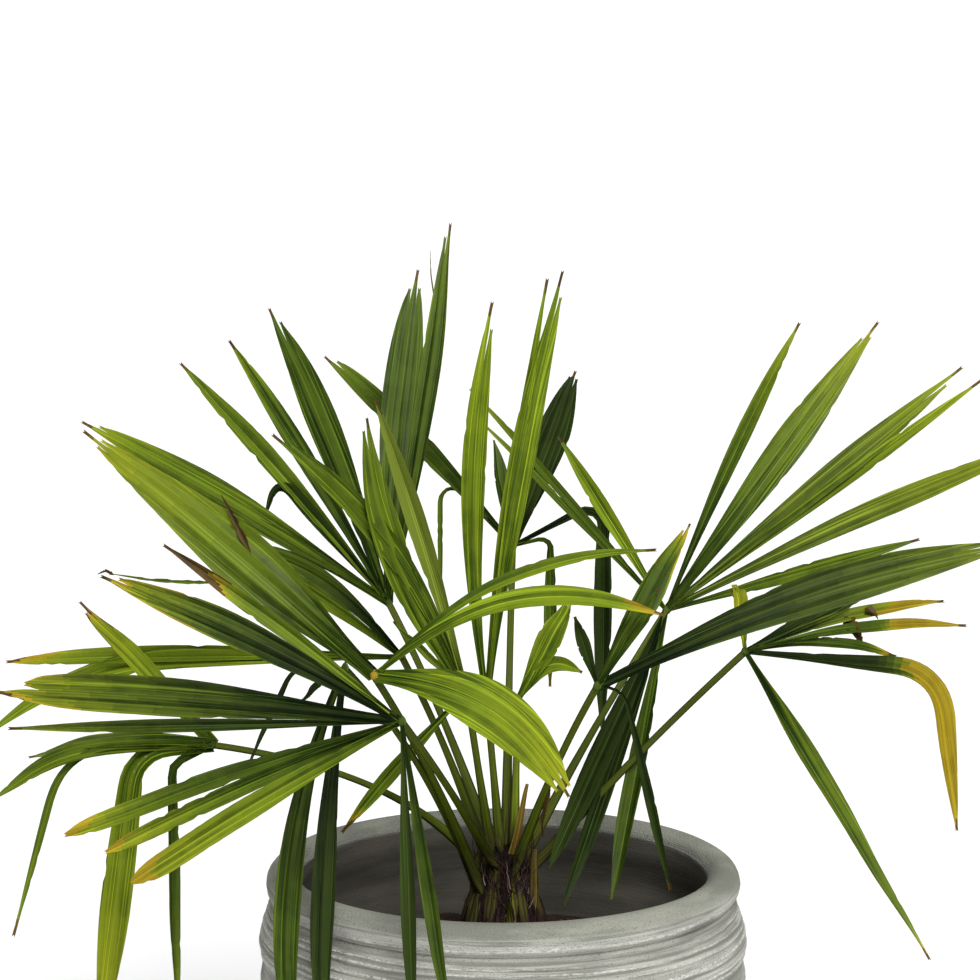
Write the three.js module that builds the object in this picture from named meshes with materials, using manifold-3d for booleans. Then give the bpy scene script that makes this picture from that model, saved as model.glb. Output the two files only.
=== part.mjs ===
// A young windmill palm in a round stoneware pot.
// Millimetres. +Z is up, +X is to the right of someone who faces the plant, and +Y points away from them.
// The origin is the centre of the pot's flat underside, and nothing moves.

import * as THREE from "three";
import { mergeVertices } from "three/addons/utils/BufferGeometryUtils.js";
import ManifoldModule from "manifold-3d";

const wasm = await ManifoldModule();
wasm.setup();
const { Manifold, Mesh: SolidMesh } = wasm;

// Clearance between any two pieces, and the least a drawn shape is grown to leave it.
const GAP = 0.3;

// The pot: a rolled lip over a turned body that narrows to its foot. Uneven bands run round the body.
const POT = {
  height: 430,
  lipCentreRadius: 220,
  lipRadius: 16.5,
  neckRadius: 233,
  neckHeight: 396,
  bellyRadius: 241,
  bellyHeight: 345,
  footRadius: 172,
  footCurve: 1.9,
  wall: 27,
  floor: 24,
  bands: 11,
  bandRelief: 2.4,
  bandUnevenness: 0.45,
  bandRhythm: 1.9,
  crestShare: 0.35,
  topGroove: 392,
  footRound: 6,
  segments: 36,
};

// The soil, well below the rim.
const SOIL = { top: 318, dome: 6 };

// The trunk stands on the soil and narrows to the neck where the leaf stalks crowd.
const TRUNK = { foot: 318 + 6 + GAP, top: 440, footRadius: 50, waistRadius: 40, topRadius: 20, sides: 12 };

// Leaf stalks are flattened, widest where they leave the trunk.
const STALK = { footWidth: 11, tipWidth: 7, flatness: 0.72, sides: 6, stations: 8 };

// Dead remains of older leaves that still stand at the neck: a split sheath and a cut stalk.
const REMAINS = [
  { name: "old_sheath", foot: [27, -14, 372], tip: [33, -14, 446], width: 12 },
  { name: "old_stalk", foot: [7, -10, 434], tip: [25, -12, 512], width: 8 },
];

// Leaflets: folded blades that leave one hub, widest past the middle.
const LEAFLET = {
  thickness: 4.4,
  straightSpans: 5,
  bentSpans: 6,
  straightUpTo: 10,
  steps: 4,
  rootShare: 0.22,
  widestAt: 0.6,
  tipPower: 1.7,
  tipWidth: 2.6,
  fold: 0.3,
  foldedBy: 0.45,
};
const HUB = { radius: 7.5, segments: 8 };

// Each leaf: where its hub is, which way its face looks (degrees), where its stalk leaves the trunk, how
// strongly the stalk arches, and its leaflets. A leaflet's clock angle is read on the face, 0 at the top
// and 90 to the right. fall is how far it bends down by its tip, between the two shares of its length in
// bend. sweep is its curve within the face, and lean tips it out of the face towards the looker.
const LEAVES = [
  {
    name: "front_left_pale",
    hub: [-121, -165, 651],
    face: [-95, 20],
    foot: [-19, -17, 398],
    arch: 0.2,
    leaflets: [
      { clock: -49, length: 375, width: 56, folds: 3, fall: 5 },
      { clock: 45, length: 305, width: 12, fall: 40 },
      { clock: 50, length: 300, width: 20, fall: 55 },
      { clock: 99, length: 225, width: 52, folds: 3, fall: 45, sweep: 10 },
    ],
  },
  {
    name: "front_left_low",
    hub: [-92, -262, 628],
    face: [-100, 15],
    foot: [-6, -15, 425],
    arch: 0.1,
    leaflets: [
      { clock: -54, length: 280, width: 16, fall: 5 },
      { clock: -62, length: 320, width: 30, folds: 2, fall: 10 },
      { clock: -85, length: 385, width: 36, folds: 2, fall: 5 },
      { clock: -93, length: 370, width: 13 },
      { clock: -108, length: 330, width: 18, fall: 5 },
      { clock: -113, length: 300, width: 16, fall: 5 },
      { clock: -120, length: 290, width: 22, fall: 5 },
      { clock: 175, length: 280, width: 14 },
      { clock: 168, length: 280, width: 14 },
    ],
  },
  {
    name: "far_left",
    hub: [-282, -60, 562],
    face: [-80, 40],
    foot: [-20, -4, 420],
    arch: 0.8,
    leaflets: [
      { clock: -35, length: 210, width: 22, folds: 2, fall: 5 },
      { clock: -81, length: 180, width: 18, fall: 20 },
      { clock: -89, length: 225, width: 18, fall: 35, bend: [0.35, 0.9] },
      { clock: -89, length: 320, width: 9, fall: 75, bend: [0.25, 0.6] },
      { clock: -93, length: 355, width: 30, folds: 2, fall: 80, bend: [0.1, 0.3] },
      { clock: -116, length: 315, width: 13, fall: 90, bend: [0.1, 0.2] },
    ],
  },
  {
    name: "upper_left",
    hub: [-117, 110, 673],
    face: [-100, 25],
    foot: [-10, 10, 437],
    arch: 0.2,
    leaflets: [
      { clock: -59, length: 405, width: 34, folds: 2, fall: 5 },
      { clock: -42, length: 365, width: 22, fall: 5 },
      { clock: -33, length: 355, width: 20, fall: 5 },
      { clock: -23, length: 375, width: 34, folds: 2, fall: 10 },
      { clock: 0, length: 370, width: 40, folds: 3, sweep: 8 },
      { clock: 4, length: 425, width: 24, folds: 2, sweep: -6 },
      { clock: -44, length: 225, width: 14, fall: 110, bend: [0.7, 0.9] },
      { clock: -59, length: 215, width: 14, fall: 5 },
    ],
  },
  {
    name: "centre_left",
    hub: [-36, -50, 613],
    face: [-85, 0],
    foot: [-11, -9, 437],
    arch: 0,
    leaflets: [
      { clock: -22, length: 320, width: 24, folds: 2, fall: 28 },
      { clock: -20, length: 290, width: 32, folds: 2, sweep: 32 },
      { clock: -17, length: 300, width: 20, sweep: -5 },
      { clock: -45, length: 100, width: 9 },
      { clock: -136, length: 185, width: 15, fall: 5 },
    ],
  },
  {
    name: "centre",
    hub: [-16, 0, 592],
    face: [-90, 0],
    foot: [-2, -3, 437],
    arch: 0,
    leaflets: [
      { clock: 1, length: 400, width: 24, folds: 2, sweep: 20 },
      { clock: 8, length: 425, width: 11, sweep: 5 },
      { clock: 10, length: 435, width: 28, folds: 2, sweep: 10 },
    ],
  },
  {
    name: "upper_back",
    hub: [11, 190, 720],
    face: [-90, 35],
    foot: [3, 13, 437],
    arch: 0.3,
    leaflets: [
      { clock: -41, length: 310, width: 26, folds: 2, sweep: -8 },
      { clock: -9, length: 130, width: 18 },
      { clock: 18, length: 225, width: 38, folds: 3 },
      { clock: 74, length: 195, width: 14, fall: 140, bend: [0.12, 0.3] },
      { clock: 60, length: 350, width: 20, fall: 140, bend: [0.2, 0.4] },
      { clock: -40, length: 250, width: 6, fall: 150, bend: [0.3, 0.55] },
    ],
  },
  {
    name: "upper_right",
    hub: [168, 110, 665],
    face: [-85, 22],
    foot: [16, 9, 422],
    arch: 0.1,
    leaflets: [
      { clock: -39, length: 310, width: 10 },
      { clock: -42, length: 290, width: 8 },
      { clock: -29, length: 215, width: 16 },
      { clock: 27, length: 350, width: 17, sweep: 6 },
      { clock: 38, length: 395, width: 36, folds: 3 },
      { clock: 52, length: 420, width: 26, folds: 2 },
      { clock: 55, length: 430, width: 15 },
      { clock: 64, length: 455, width: 24, folds: 2, fall: 6 },
      { clock: 75, length: 280, width: 16 },
      { clock: -153, length: 305, width: 20, lean: 9 },
      { clock: -158, length: 330, width: 14, lean: 7 },
      { clock: -166, length: 310, width: 16, lean: 7 },
    ],
  },
  {
    name: "right_front",
    hub: [89, -110, 630],
    face: [-85, 10],
    foot: [9, -15, 418],
    arch: 0.2,
    leaflets: [
      { clock: 30, length: 180, width: 30, folds: 2 },
      { clock: 33, length: 110, width: 14 },
      { clock: 65, length: 435, width: 40, folds: 3, fall: 15 },
      { clock: -17, length: 70, width: 13 },
      { clock: 92, length: 225, width: 10, fall: 75, bend: [0, 0.2] },
    ],
  },
  {
    name: "far_right",
    hub: [243, 40, 635],
    face: [-75, 35],
    foot: [20, -2, 413],
    arch: 0.1,
    leaflets: [
      { clock: 5, length: 90, width: 18 },
      { clock: 66, length: 210, width: 24, folds: 2 },
      { clock: 71, length: 245, width: 14, fall: 15 },
      { clock: 78, length: 260, width: 13, fall: 15 },
      { clock: 81, length: 175, width: 12, fall: 25 },
      { clock: 99, length: 360, width: 24, fall: 75, bend: [0.4, 0.7] },
      { clock: 160, length: 355, width: 15 },
    ],
  },
  {
    name: "left_middle",
    hub: [-101, 20, 634],
    face: [-105, 15],
    foot: [-16, 4, 430],
    arch: 0.2,
    leaflets: [
      { clock: -45, length: 255, width: 24, fall: 40 },
      { clock: -57, length: 255, width: 20, fall: 10 },
      { clock: -93, length: 480, width: 22, fall: 35, bend: [0.4, 1] },
      { clock: -91, length: 430, width: 18, fall: 5 },
    ],
  },
  {
    name: "left_hanging",
    hub: [-146, -200, 665],
    face: [-115, 0],
    foot: [-24, -9, 404],
    arch: 0.3,
    leaflets: [
      { clock: -172, length: 400, width: 28, folds: 2, sweep: -35 },
      { clock: -176, length: 380, width: 26, folds: 2, sweep: -10 },
      { clock: -93, length: 160, width: 6, fall: 60, bend: [0.2, 0.45] },
      { clock: -118, length: 60, width: 7, fall: 20 },
    ],
  },
  {
    name: "young",
    hub: [15, 50, 584],
    face: [-90, 10],
    foot: [11, 2, 437],
    arch: 0,
    leaflets: [
      { clock: 28, length: 115, width: 26, folds: 2 },
      { clock: 37, length: 85, width: 16, fall: 80, bend: [0.3, 0.9] },
    ],
  },
];

const UP = new THREE.Vector3(0, 0, 1);
const DOWN = new THREE.Vector3(0, 0, -1);

const radians = THREE.MathUtils.degToRad;
const smooth = (value) => THREE.MathUtils.smoothstep(value, 0, 1);

// A closed solid through rings of points. capFaces are the triangles of the first ring's cap, and the
// last ring's cap takes them turned round.
function solidThrough(rings, capFaces) {
  const size = rings[0].length;
  const last = (rings.length - 1) * size;
  const faces = [];
  for (let ring = 0; ring < rings.length - 1; ring++) {
    for (let point = 0; point < size; point++) {
      const here = ring * size + point;
      const next = ring * size + ((point + 1) % size);
      faces.push(here, next, next + size);
      faces.push(here, next + size, here + size);
    }
  }
  for (const [a, b, c] of capFaces) {
    faces.push(c, b, a);
    faces.push(last + a, last + b, last + c);
  }
  const places = rings.flat().flatMap((point) => point.toArray());
  const mesh = new SolidMesh({
    numProp: 3,
    vertProperties: new Float32Array(places),
    triVerts: new Uint32Array(faces),
  });
  return new Manifold(mesh);
}

// The cap of a convex ring, as a fan of triangles from its first point.
function convexCap(size) {
  const faces = [];
  for (let point = 1; point < size - 1; point++) faces.push([0, point, point + 1]);
  return faces;
}

// The cap of a folded strip whose ring runs along one side and back along the other.
function stripCap(size) {
  const faces = [];
  for (let point = 0; point < size / 2 - 1; point++) {
    const across = size - 1 - point;
    faces.push([point, point + 1, across - 1]);
    faces.push([point, across - 1, across]);
  }
  return faces;
}

// A solid turned about the Z axis from [radius, height] points that run anticlockwise.
function turned(points, segments) {
  const profile = points.map(([radius, height]) => new THREE.Vector2(radius, height));
  const lathe = new THREE.LatheGeometry(profile, segments);
  lathe.deleteAttribute("normal");
  lathe.deleteAttribute("uv");
  lathe.rotateX(Math.PI / 2);
  const merged = mergeVertices(lathe, 1e-3);
  const solid = new Manifold(
    new SolidMesh({
      numProp: 3,
      vertProperties: new Float32Array(merged.attributes.position.array),
      triVerts: new Uint32Array(merged.index.array),
    }),
  );
  return solid;
}

// The pot's outside radius at a height, without its turned bands.
function bodyRadius(height) {
  if (height >= POT.bellyHeight) {
    const share = (height - POT.bellyHeight) / (POT.neckHeight - POT.bellyHeight);
    return POT.bellyRadius - (POT.bellyRadius - POT.neckRadius) * share * share;
  }
  const share = 1 - height / POT.bellyHeight;
  return POT.bellyRadius - (POT.bellyRadius - POT.footRadius) * share ** POT.footCurve;
}

// The height of a groove, counted down from the neck. The bands between the grooves are uneven.
function grooveHeight(groove) {
  const beat = (count) => count + POT.bandUnevenness * Math.sin(POT.bandRhythm * (count - 0.5));
  const share = (beat(groove) - beat(0)) / (beat(POT.bands) - beat(0));
  return THREE.MathUtils.lerp(POT.topGroove, POT.footRound, share);
}

// The pot's outside from its foot up to its neck: each band's crest, and the groove over it.
function bandedSide() {
  const points = [[bodyRadius(0) - POT.footRound, 0], [bodyRadius(0), POT.footRound]];
  for (let band = POT.bands; band > 0; band--) {
    const groove = grooveHeight(band - 1);
    const crest = THREE.MathUtils.lerp(grooveHeight(band), groove, POT.crestShare);
    points.push([bodyRadius(crest) + POT.bandRelief, crest]);
    points.push([bodyRadius(groove) - POT.bandRelief / 2, groove]);
  }
  return points;
}

// The pot's inside radius at a height, where the soil fits it.
function insideRadius(height) {
  return bodyRadius(Math.min(height, POT.bellyHeight)) - POT.wall - POT.bandRelief / 2;
}

function potSolid() {
  const lipHeight = POT.height - POT.lipRadius;
  const lip = [];
  for (let angle = -60; angle <= 180; angle += 30) {
    lip.push([
      POT.lipCentreRadius + POT.lipRadius * Math.cos(radians(angle)),
      lipHeight + POT.lipRadius * Math.sin(radians(angle)),
    ]);
  }
  const inside = [360, 300, 200, 100, POT.floor].map((height) => [insideRadius(height), height]);
  return turned([[0, 0], ...bandedSide(), ...lip, ...inside, [0, POT.floor]], POT.segments);
}

function soilSolid() {
  const side = [POT.floor + GAP, 180, SOIL.top].map((height) => [insideRadius(height) - 3 * GAP, height]);
  const crown = SOIL.top + SOIL.dome;
  const points = [[0, POT.floor + GAP], ...side, [2 * TRUNK.footRadius, crown], [0, crown]];
  return turned(points, POT.segments);
}

// A stalk's flattened ring, grown by a clearance.
function stalkRing(centre, across, deep, width, grow) {
  const ring = [];
  for (let side = 0; side < STALK.sides; side++) {
    const angle = (side / STALK.sides) * 2 * Math.PI;
    const point = centre.clone();
    point.addScaledVector(across, (width / 2 + grow) * Math.cos(angle));
    point.addScaledVector(deep, ((width * STALK.flatness) / 2 + grow) * Math.sin(angle));
    ring.push(point);
  }
  return ring;
}

// The trunk, grown by a clearance. Old leaf bases make every other side stand out a little.
function trunkSolid(grow) {
  const levels = [0, 0.18, 0.42, 0.62, 0.8, 1];
  const rings = levels.map((share) => {
    const height = THREE.MathUtils.lerp(TRUNK.foot - grow, TRUNK.top + grow, share);
    const low = THREE.MathUtils.lerp(TRUNK.footRadius, TRUNK.waistRadius, Math.min(share / 0.42, 1));
    const radius = THREE.MathUtils.lerp(low, TRUNK.topRadius, smooth((share - 0.35) / 0.6)) + grow;
    const ring = [];
    for (let side = 0; side < TRUNK.sides; side++) {
      const angle = ((side + share) / TRUNK.sides) * 2 * Math.PI;
      const out = radius * (side % 2 ? 1 : 0.92) + (side % 2 ? 0 : grow);
      ring.push(new THREE.Vector3(out * Math.cos(angle), out * Math.sin(angle), height));
    }
    return ring;
  });
  return solidThrough(rings, convexCap(TRUNK.sides));
}

// The frame of a leaf's face: its normal, the way up it, and the way to a looker's right.
function faceFrame([azimuth, elevation]) {
  const normal = new THREE.Vector3(
    Math.cos(radians(elevation)) * Math.cos(radians(azimuth)),
    Math.cos(radians(elevation)) * Math.sin(radians(azimuth)),
    Math.sin(radians(elevation)),
  );
  const rise = UP.clone().addScaledVector(normal, -UP.dot(normal)).normalize();
  const right = rise.clone().cross(normal);
  return { normal, rise, right };
}

// A leaf stalk, from inside the trunk to the hub. An arched one climbs first and then reaches out.
function stalkSolid(leaf, grow) {
  const foot = new THREE.Vector3(...leaf.foot);
  const hub = new THREE.Vector3(...leaf.hub);
  const run = hub.clone().sub(foot);
  const reach = 0.5 - 0.3 * leaf.arch;
  const climb = 0.5 + 0.3 * leaf.arch;
  const shoulder = foot.clone().add(new THREE.Vector3(run.x * reach, run.y * reach, run.z * climb));
  const route = new THREE.QuadraticBezierCurve3(foot, shoulder, hub);
  const { normal } = faceFrame(leaf.face);
  const rings = [];
  for (let station = 0; station < STALK.stations; station++) {
    const share = station / (STALK.stations - 1);
    const along = route.getTangent(share);
    const across = along.clone().cross(normal).normalize();
    const deep = across.clone().cross(along).negate();
    const width = THREE.MathUtils.lerp(STALK.footWidth, STALK.tipWidth, smooth(share * 1.6));
    rings.push(stalkRing(route.getPoint(share), across, deep, width, grow));
  }
  return solidThrough(rings, convexCap(STALK.sides));
}

// A dead remain: a short straight stalk that narrows to its tip.
function remainSolid(remain, grow) {
  const foot = new THREE.Vector3(...remain.foot);
  const tip = new THREE.Vector3(...remain.tip);
  const along = tip.clone().sub(foot).normalize();
  const across = along.clone().cross(new THREE.Vector3(0, -1, 0)).normalize();
  const deep = along.clone().cross(across);
  const rings = [1, 0.8, 0.35].map((taper, index) => {
    const centre = foot.clone().lerp(tip, index / 2).addScaledVector(along, (index - 1) * grow);
    return stalkRing(centre, across, deep, remain.width * taper, grow);
  });
  return solidThrough(rings, convexCap(STALK.sides));
}

// The places along a leaflet's rib, each with the way along it and the way its face looks.
function ribOf(leaflet, leaf, frame) {
  const { clock, length, fall = 0, bend = [0, 1], sweep = 0, lean = 0 } = leaflet;
  const straight = fall <= LEAFLET.straightUpTo && Math.abs(sweep) <= LEAFLET.straightUpTo;
  const steps = (straight ? LEAFLET.straightSpans : LEAFLET.bentSpans) * LEAFLET.steps;
  const place = new THREE.Vector3(...leaf.hub);
  const way = (share) => {
    const angle = radians(clock + sweep * (share - 0.5));
    const along = frame.rise
      .clone()
      .multiplyScalar(Math.cos(angle))
      .addScaledVector(frame.right, Math.sin(angle))
      .multiplyScalar(Math.cos(radians(lean)))
      .addScaledVector(frame.normal, Math.sin(radians(lean)));
    const most = along.angleTo(DOWN);
    const turn = Math.min(radians(fall) * smooth((share - bend[0]) / (bend[1] - bend[0])), most);
    const axis = along.clone().cross(DOWN).normalize();
    return along.applyAxisAngle(axis, turn);
  };
  const rib = [{ place: place.clone(), along: way(0) }];
  for (let step = 0; step < steps; step++) {
    place.addScaledVector(way((step + 0.5) / steps), length / steps);
    if ((step + 1) % LEAFLET.steps === 0) rib.push({ place: place.clone(), along: way((step + 1) / steps) });
  }
  return rib;
}

// A leaflet's width at a share of its length.
function widthAt(share, width) {
  const grown = LEAFLET.rootShare + (1 - LEAFLET.rootShare) * smooth(share / LEAFLET.widestAt);
  const spent = Math.max(share - LEAFLET.widestAt, 0) / (1 - LEAFLET.widestAt);
  const tapered = (1 - spent ** LEAFLET.tipPower) ** 0.9;
  return Math.max(width * (share < LEAFLET.widestAt ? grown : tapered), LEAFLET.tipWidth);
}

// One leaflet: a folded strip, grown by a clearance.
function leafletSolid(leaflet, leaf, frame, grow) {
  const folds = leaflet.folds ?? 1;
  const rib = ribOf(leaflet, leaf, frame);
  const rings = rib.map(({ place, along }, station) => {
    const share = station / (rib.length - 1);
    const across = along.clone().cross(frame.normal).normalize();
    const face = across.clone().cross(along).normalize();
    const width = widthAt(share, leaflet.width);
    const depth = (width / folds) * LEAFLET.fold * smooth(share / LEAFLET.foldedBy);
    const end = station === 0 ? -grow : station === rib.length - 1 ? grow : 0;
    const centre = place.clone().addScaledVector(along, end);
    const row = (side) => {
      const points = [];
      for (let line = 0; line <= 2 * folds; line++) {
        const out = (line / (2 * folds) - 0.5) * (width + 2 * grow);
        const high = (line % 2 ? -0.5 : 0.5) * depth + side * (LEAFLET.thickness / 2 + grow);
        points.push(centre.clone().addScaledVector(across, out).addScaledVector(face, high));
      }
      return points;
    };
    return [...row(1), ...row(-1).reverse()];
  });
  return solidThrough(rings, stripCap(rings[0].length));
}

// A whole leaf blade: its leaflets joined at the hub, grown by a clearance.
function bladeSolid(leaf, grow) {
  const frame = faceFrame(leaf.face);
  const hub = Manifold.sphere(HUB.radius + grow, HUB.segments).translate(leaf.hub);
  const leaflets = leaf.leaflets.map((leaflet) => leafletSolid(leaflet, leaf, frame, grow));
  return Manifold.union([hub, ...leaflets]);
}

// What is left of a solid that keeps clear of its neighbours: its largest body.
function clearOf(solid, neighbours) {
  const near = neighbours.filter((other) => overlap(solid, other) > 0);
  const rest = near.length ? solid.subtract(Manifold.union(near)) : solid;
  const bodies = rest.decompose();
  bodies.sort((one, other) => other.volume() - one.volume());
  return bodies[0];
}

function overlap(one, other) {
  return one.intersect(other).volume();
}

const MATERIALS = {
  pot: { color: 0xb9bdb9, roughness: 0.9 },
  soil: { color: 0x4a3a30, roughness: 1 },
  trunk: { color: 0x5a4436, roughness: 1 },
  stalk: { color: 0x6f8f3a, roughness: 0.6 },
  leaf: { color: 0x4f7f2a, roughness: 0.5 },
};

// A named mesh of a solid.
function meshOf(name, solid, material) {
  const { vertProperties, triVerts } = solid.getMesh();
  const geometry = new THREE.BufferGeometry();
  geometry.setAttribute("position", new THREE.BufferAttribute(vertProperties, 3));
  geometry.setIndex(new THREE.BufferAttribute(triVerts, 1));
  const mesh = new THREE.Mesh(geometry, new THREE.MeshStandardMaterial(material));
  mesh.name = name;
  return mesh;
}

const palm = new THREE.Group();
palm.name = "potted_windmill_palm";

palm.add(meshOf("pot", potSolid(), MATERIALS.pot));
palm.add(meshOf("soil", soilSolid(), MATERIALS.soil));
palm.add(meshOf("trunk", trunkSolid(0), MATERIALS.trunk));

// Each piece in turn keeps clear of those before it.
const taken = [trunkSolid(GAP)];
for (const leaf of LEAVES) {
  const hub = Manifold.sphere(HUB.radius + GAP, HUB.segments).translate(leaf.hub);
  palm.add(meshOf(`stalk_${leaf.name}`, clearOf(stalkSolid(leaf, 0), [...taken, hub]), MATERIALS.stalk));
  taken.push(stalkSolid(leaf, GAP));
}
for (const remain of REMAINS) {
  palm.add(meshOf(remain.name, clearOf(remainSolid(remain, 0), taken), MATERIALS.trunk));
  taken.push(remainSolid(remain, GAP));
}
for (const leaf of LEAVES) {
  const own = Manifold.sphere(HUB.radius, HUB.segments).translate(leaf.hub);
  const blade = clearOf(bladeSolid(leaf, 0), taken).add(own);
  palm.add(meshOf(`blade_${leaf.name}`, blade, MATERIALS.leaf));
  taken.push(bladeSolid(leaf, GAP));
}

export default palm;
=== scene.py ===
"""A young windmill palm in a round stoneware pot, dressed over its fixed solids.

The solids give every place and reach. Each piece here replaces one or more of them with the finished
surface: a banded pot, soil, a fibre-clad trunk, flattened leaf stalks and fans of folded leaflets.
Tables and sizes are in millimetres, meshes are in metres.
"""

import logging
import math
from dataclasses import dataclass, field, replace
from enum import Enum
from typing import Callable, Iterable

import bpy
import numpy as np
from mathutils import Matrix, Vector


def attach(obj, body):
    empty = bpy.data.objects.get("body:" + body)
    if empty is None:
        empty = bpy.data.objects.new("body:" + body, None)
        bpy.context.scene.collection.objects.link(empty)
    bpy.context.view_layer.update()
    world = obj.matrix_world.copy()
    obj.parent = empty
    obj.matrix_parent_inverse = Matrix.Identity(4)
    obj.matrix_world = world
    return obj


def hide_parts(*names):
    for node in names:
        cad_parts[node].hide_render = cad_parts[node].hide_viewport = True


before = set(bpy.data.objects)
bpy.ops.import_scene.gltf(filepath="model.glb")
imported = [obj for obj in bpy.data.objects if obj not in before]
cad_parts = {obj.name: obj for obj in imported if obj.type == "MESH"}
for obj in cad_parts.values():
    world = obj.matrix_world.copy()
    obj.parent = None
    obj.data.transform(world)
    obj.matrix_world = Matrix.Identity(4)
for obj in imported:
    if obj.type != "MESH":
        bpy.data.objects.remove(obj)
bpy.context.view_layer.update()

LOG = logging.getLogger("palm")
MM = 0.001
DOWN = np.array([0.0, 0.0, -1.0])
UP = np.array([0.0, 0.0, 1.0])
TAU = 2 * math.pi
Array = np.ndarray
Socket = bpy.types.NodeSocket
Piece = bpy.types.Object
Colour = tuple[float, float, float]
Point = tuple[float, float, float]


# Small sums that several pieces share


def unit(vectors: Array) -> Array:
    """Vectors of length one along the given ones."""
    return vectors / np.linalg.norm(vectors, axis=-1, keepdims=True)


def smooth(values: Array | float) -> Array | float:
    """A soft step from 0 to 1 as the value runs from 0 to 1."""
    held = np.clip(values, 0.0, 1.0)
    return held * held * (3.0 - 2.0 * held)


def lerp(low: float, high: float, share: Array | float) -> Array | float:
    """The value that lies at a share of the way from low to high."""
    return low + (high - low) * share


def turned_about(vectors: Array, axes: Array, angles: Array) -> Array:
    """Vectors turned about unit axes.

    Args:
        vectors: Rows of vectors at right angles to their axes.
        axes: Rows of unit axes.
        angles: One angle for each row, in radians.

    Returns:
        The turned rows.
    """
    across = np.cross(axes, vectors)
    return vectors * np.cos(angles)[:, None] + across * np.sin(angles)[:, None]


def polar(radius: Array, angle: Array, height: Array) -> Array:
    """Places at radii and angles about the upright axis, at heights."""
    return np.stack(np.broadcast_arrays(radius * np.cos(angle), radius * np.sin(angle), height), axis=-1)


def sampled(knots: Array, shares: Array) -> Array:
    """Places at shares of a route through evenly counted knots."""
    line = np.linspace(0.0, 1.0, len(knots))
    return np.column_stack([np.interp(shares, line, knots[:, axis]) for axis in range(3)])


def ribbon_frame(along: Array, normal: Array, twist: Array) -> tuple[Array, Array]:
    """The ways across a ribbon and out of its face.

    Args:
        along: The unit way along it, by row.
        normal: The way that it faces before it twists.
        twist: How far it is twisted at each row, in radians.

    Returns:
        The unit ways across it and out of its face, by row.
    """
    across = turned_about(unit(np.cross(along, normal)), along, twist)
    return across, np.cross(across, along)


def laid(places: Array, across: Array, face: Array, out: Array, high: Array) -> Array:
    """Places moved out across a ribbon and high off its face, by row and column."""
    return places + across[:, None] * out[..., None] + face[:, None] * high[..., None]


# Meshes


def deselect_all() -> None:
    """Leaves nothing selected, so that the next operator acts on its own piece alone."""
    if bpy.context.object and bpy.context.object.mode != "OBJECT":
        bpy.ops.object.mode_set(mode="OBJECT")
    bpy.ops.object.select_all(action="DESELECT")


def activate(piece: Piece) -> None:
    """Makes one piece the only selected and active one.

    Args:
        piece: The piece.
    """
    deselect_all()
    piece.select_set(True)
    bpy.context.view_layer.objects.active = piece


def close_up(piece: Piece, merge: float = 1e-5, fill: bool = False) -> None:
    """Merges doubled vertices and turns all faces outwards.

    Args:
        piece: The mesh to close.
        merge: The distance in metres within which vertices merge.
        fill: Whether open ends get a face.
    """
    activate(piece)
    bpy.ops.object.mode_set(mode="EDIT")
    bpy.ops.mesh.select_all(action="SELECT")
    bpy.ops.mesh.remove_doubles(threshold=merge)
    if fill:
        bpy.ops.mesh.fill_holes(sides=0)
    bpy.ops.mesh.normals_make_consistent(inside=False)
    bpy.ops.object.mode_set(mode="OBJECT")


def places_of(piece: Piece) -> Array:
    """The places of a mesh's vertices.

    Args:
        piece: The mesh.

    Returns:
        Rows of places, in metres.
    """
    flat = np.empty(len(piece.data.vertices) * 3, np.float32)
    piece.data.vertices.foreach_get("co", flat)
    return flat.reshape(-1, 3).astype(float)


def move_to(piece: Piece, places: Array) -> None:
    """Puts a mesh's vertices at new places, in metres."""
    piece.data.vertices.foreach_set("co", places.astype(np.float32).ravel())
    piece.data.update()


def paint(piece: Piece, name: str, values: Array) -> None:
    """Keeps one number for each vertex, for the materials to read.

    Args:
        piece: The mesh that keeps the numbers.
        name: The attribute's name.
        values: One number for each vertex.
    """
    layer = piece.data.attributes.new(name, "FLOAT", "POINT")
    layer.data.foreach_set("value", np.asarray(values, np.float32))


def spun(name: str, profile: Array, steps: int) -> Piece:
    """A closed round piece, spun from its profile about the upright axis.

    Args:
        name: The piece's name.
        profile: Rows of radius and height in millimetres, from axis to axis.
        steps: How many sides the round has.

    Returns:
        The closed mesh object.
    """
    deselect_all()
    bpy.ops.mesh.primitive_grid_add(x_subdivisions=len(profile) - 1, y_subdivisions=1, size=1)
    piece = bpy.context.object
    piece.name = name
    places = places_of(piece)
    front = places[:, 1] < 0
    order = np.argsort(places[front, 0])
    line = places[front]
    line[order] = np.column_stack([profile[:, 0], np.zeros(len(profile)), profile[:, 1]]) * MM
    places[front] = line
    move_to(piece, places)
    piece.data.edges.foreach_set("select", np.zeros(len(piece.data.edges), bool))
    piece.data.polygons.foreach_set("select", np.zeros(len(piece.data.polygons), bool))
    piece.data.vertices.foreach_set("select", ~front)
    bpy.ops.object.mode_set(mode="EDIT")
    bpy.ops.mesh.delete(type="VERT")
    bpy.ops.mesh.select_all(action="SELECT")
    bpy.ops.mesh.spin(steps=steps, angle=TAU, center=(0, 0, 0), axis=(0, 0, 1))
    bpy.ops.object.mode_set(mode="OBJECT")
    close_up(piece)
    return piece


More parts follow.
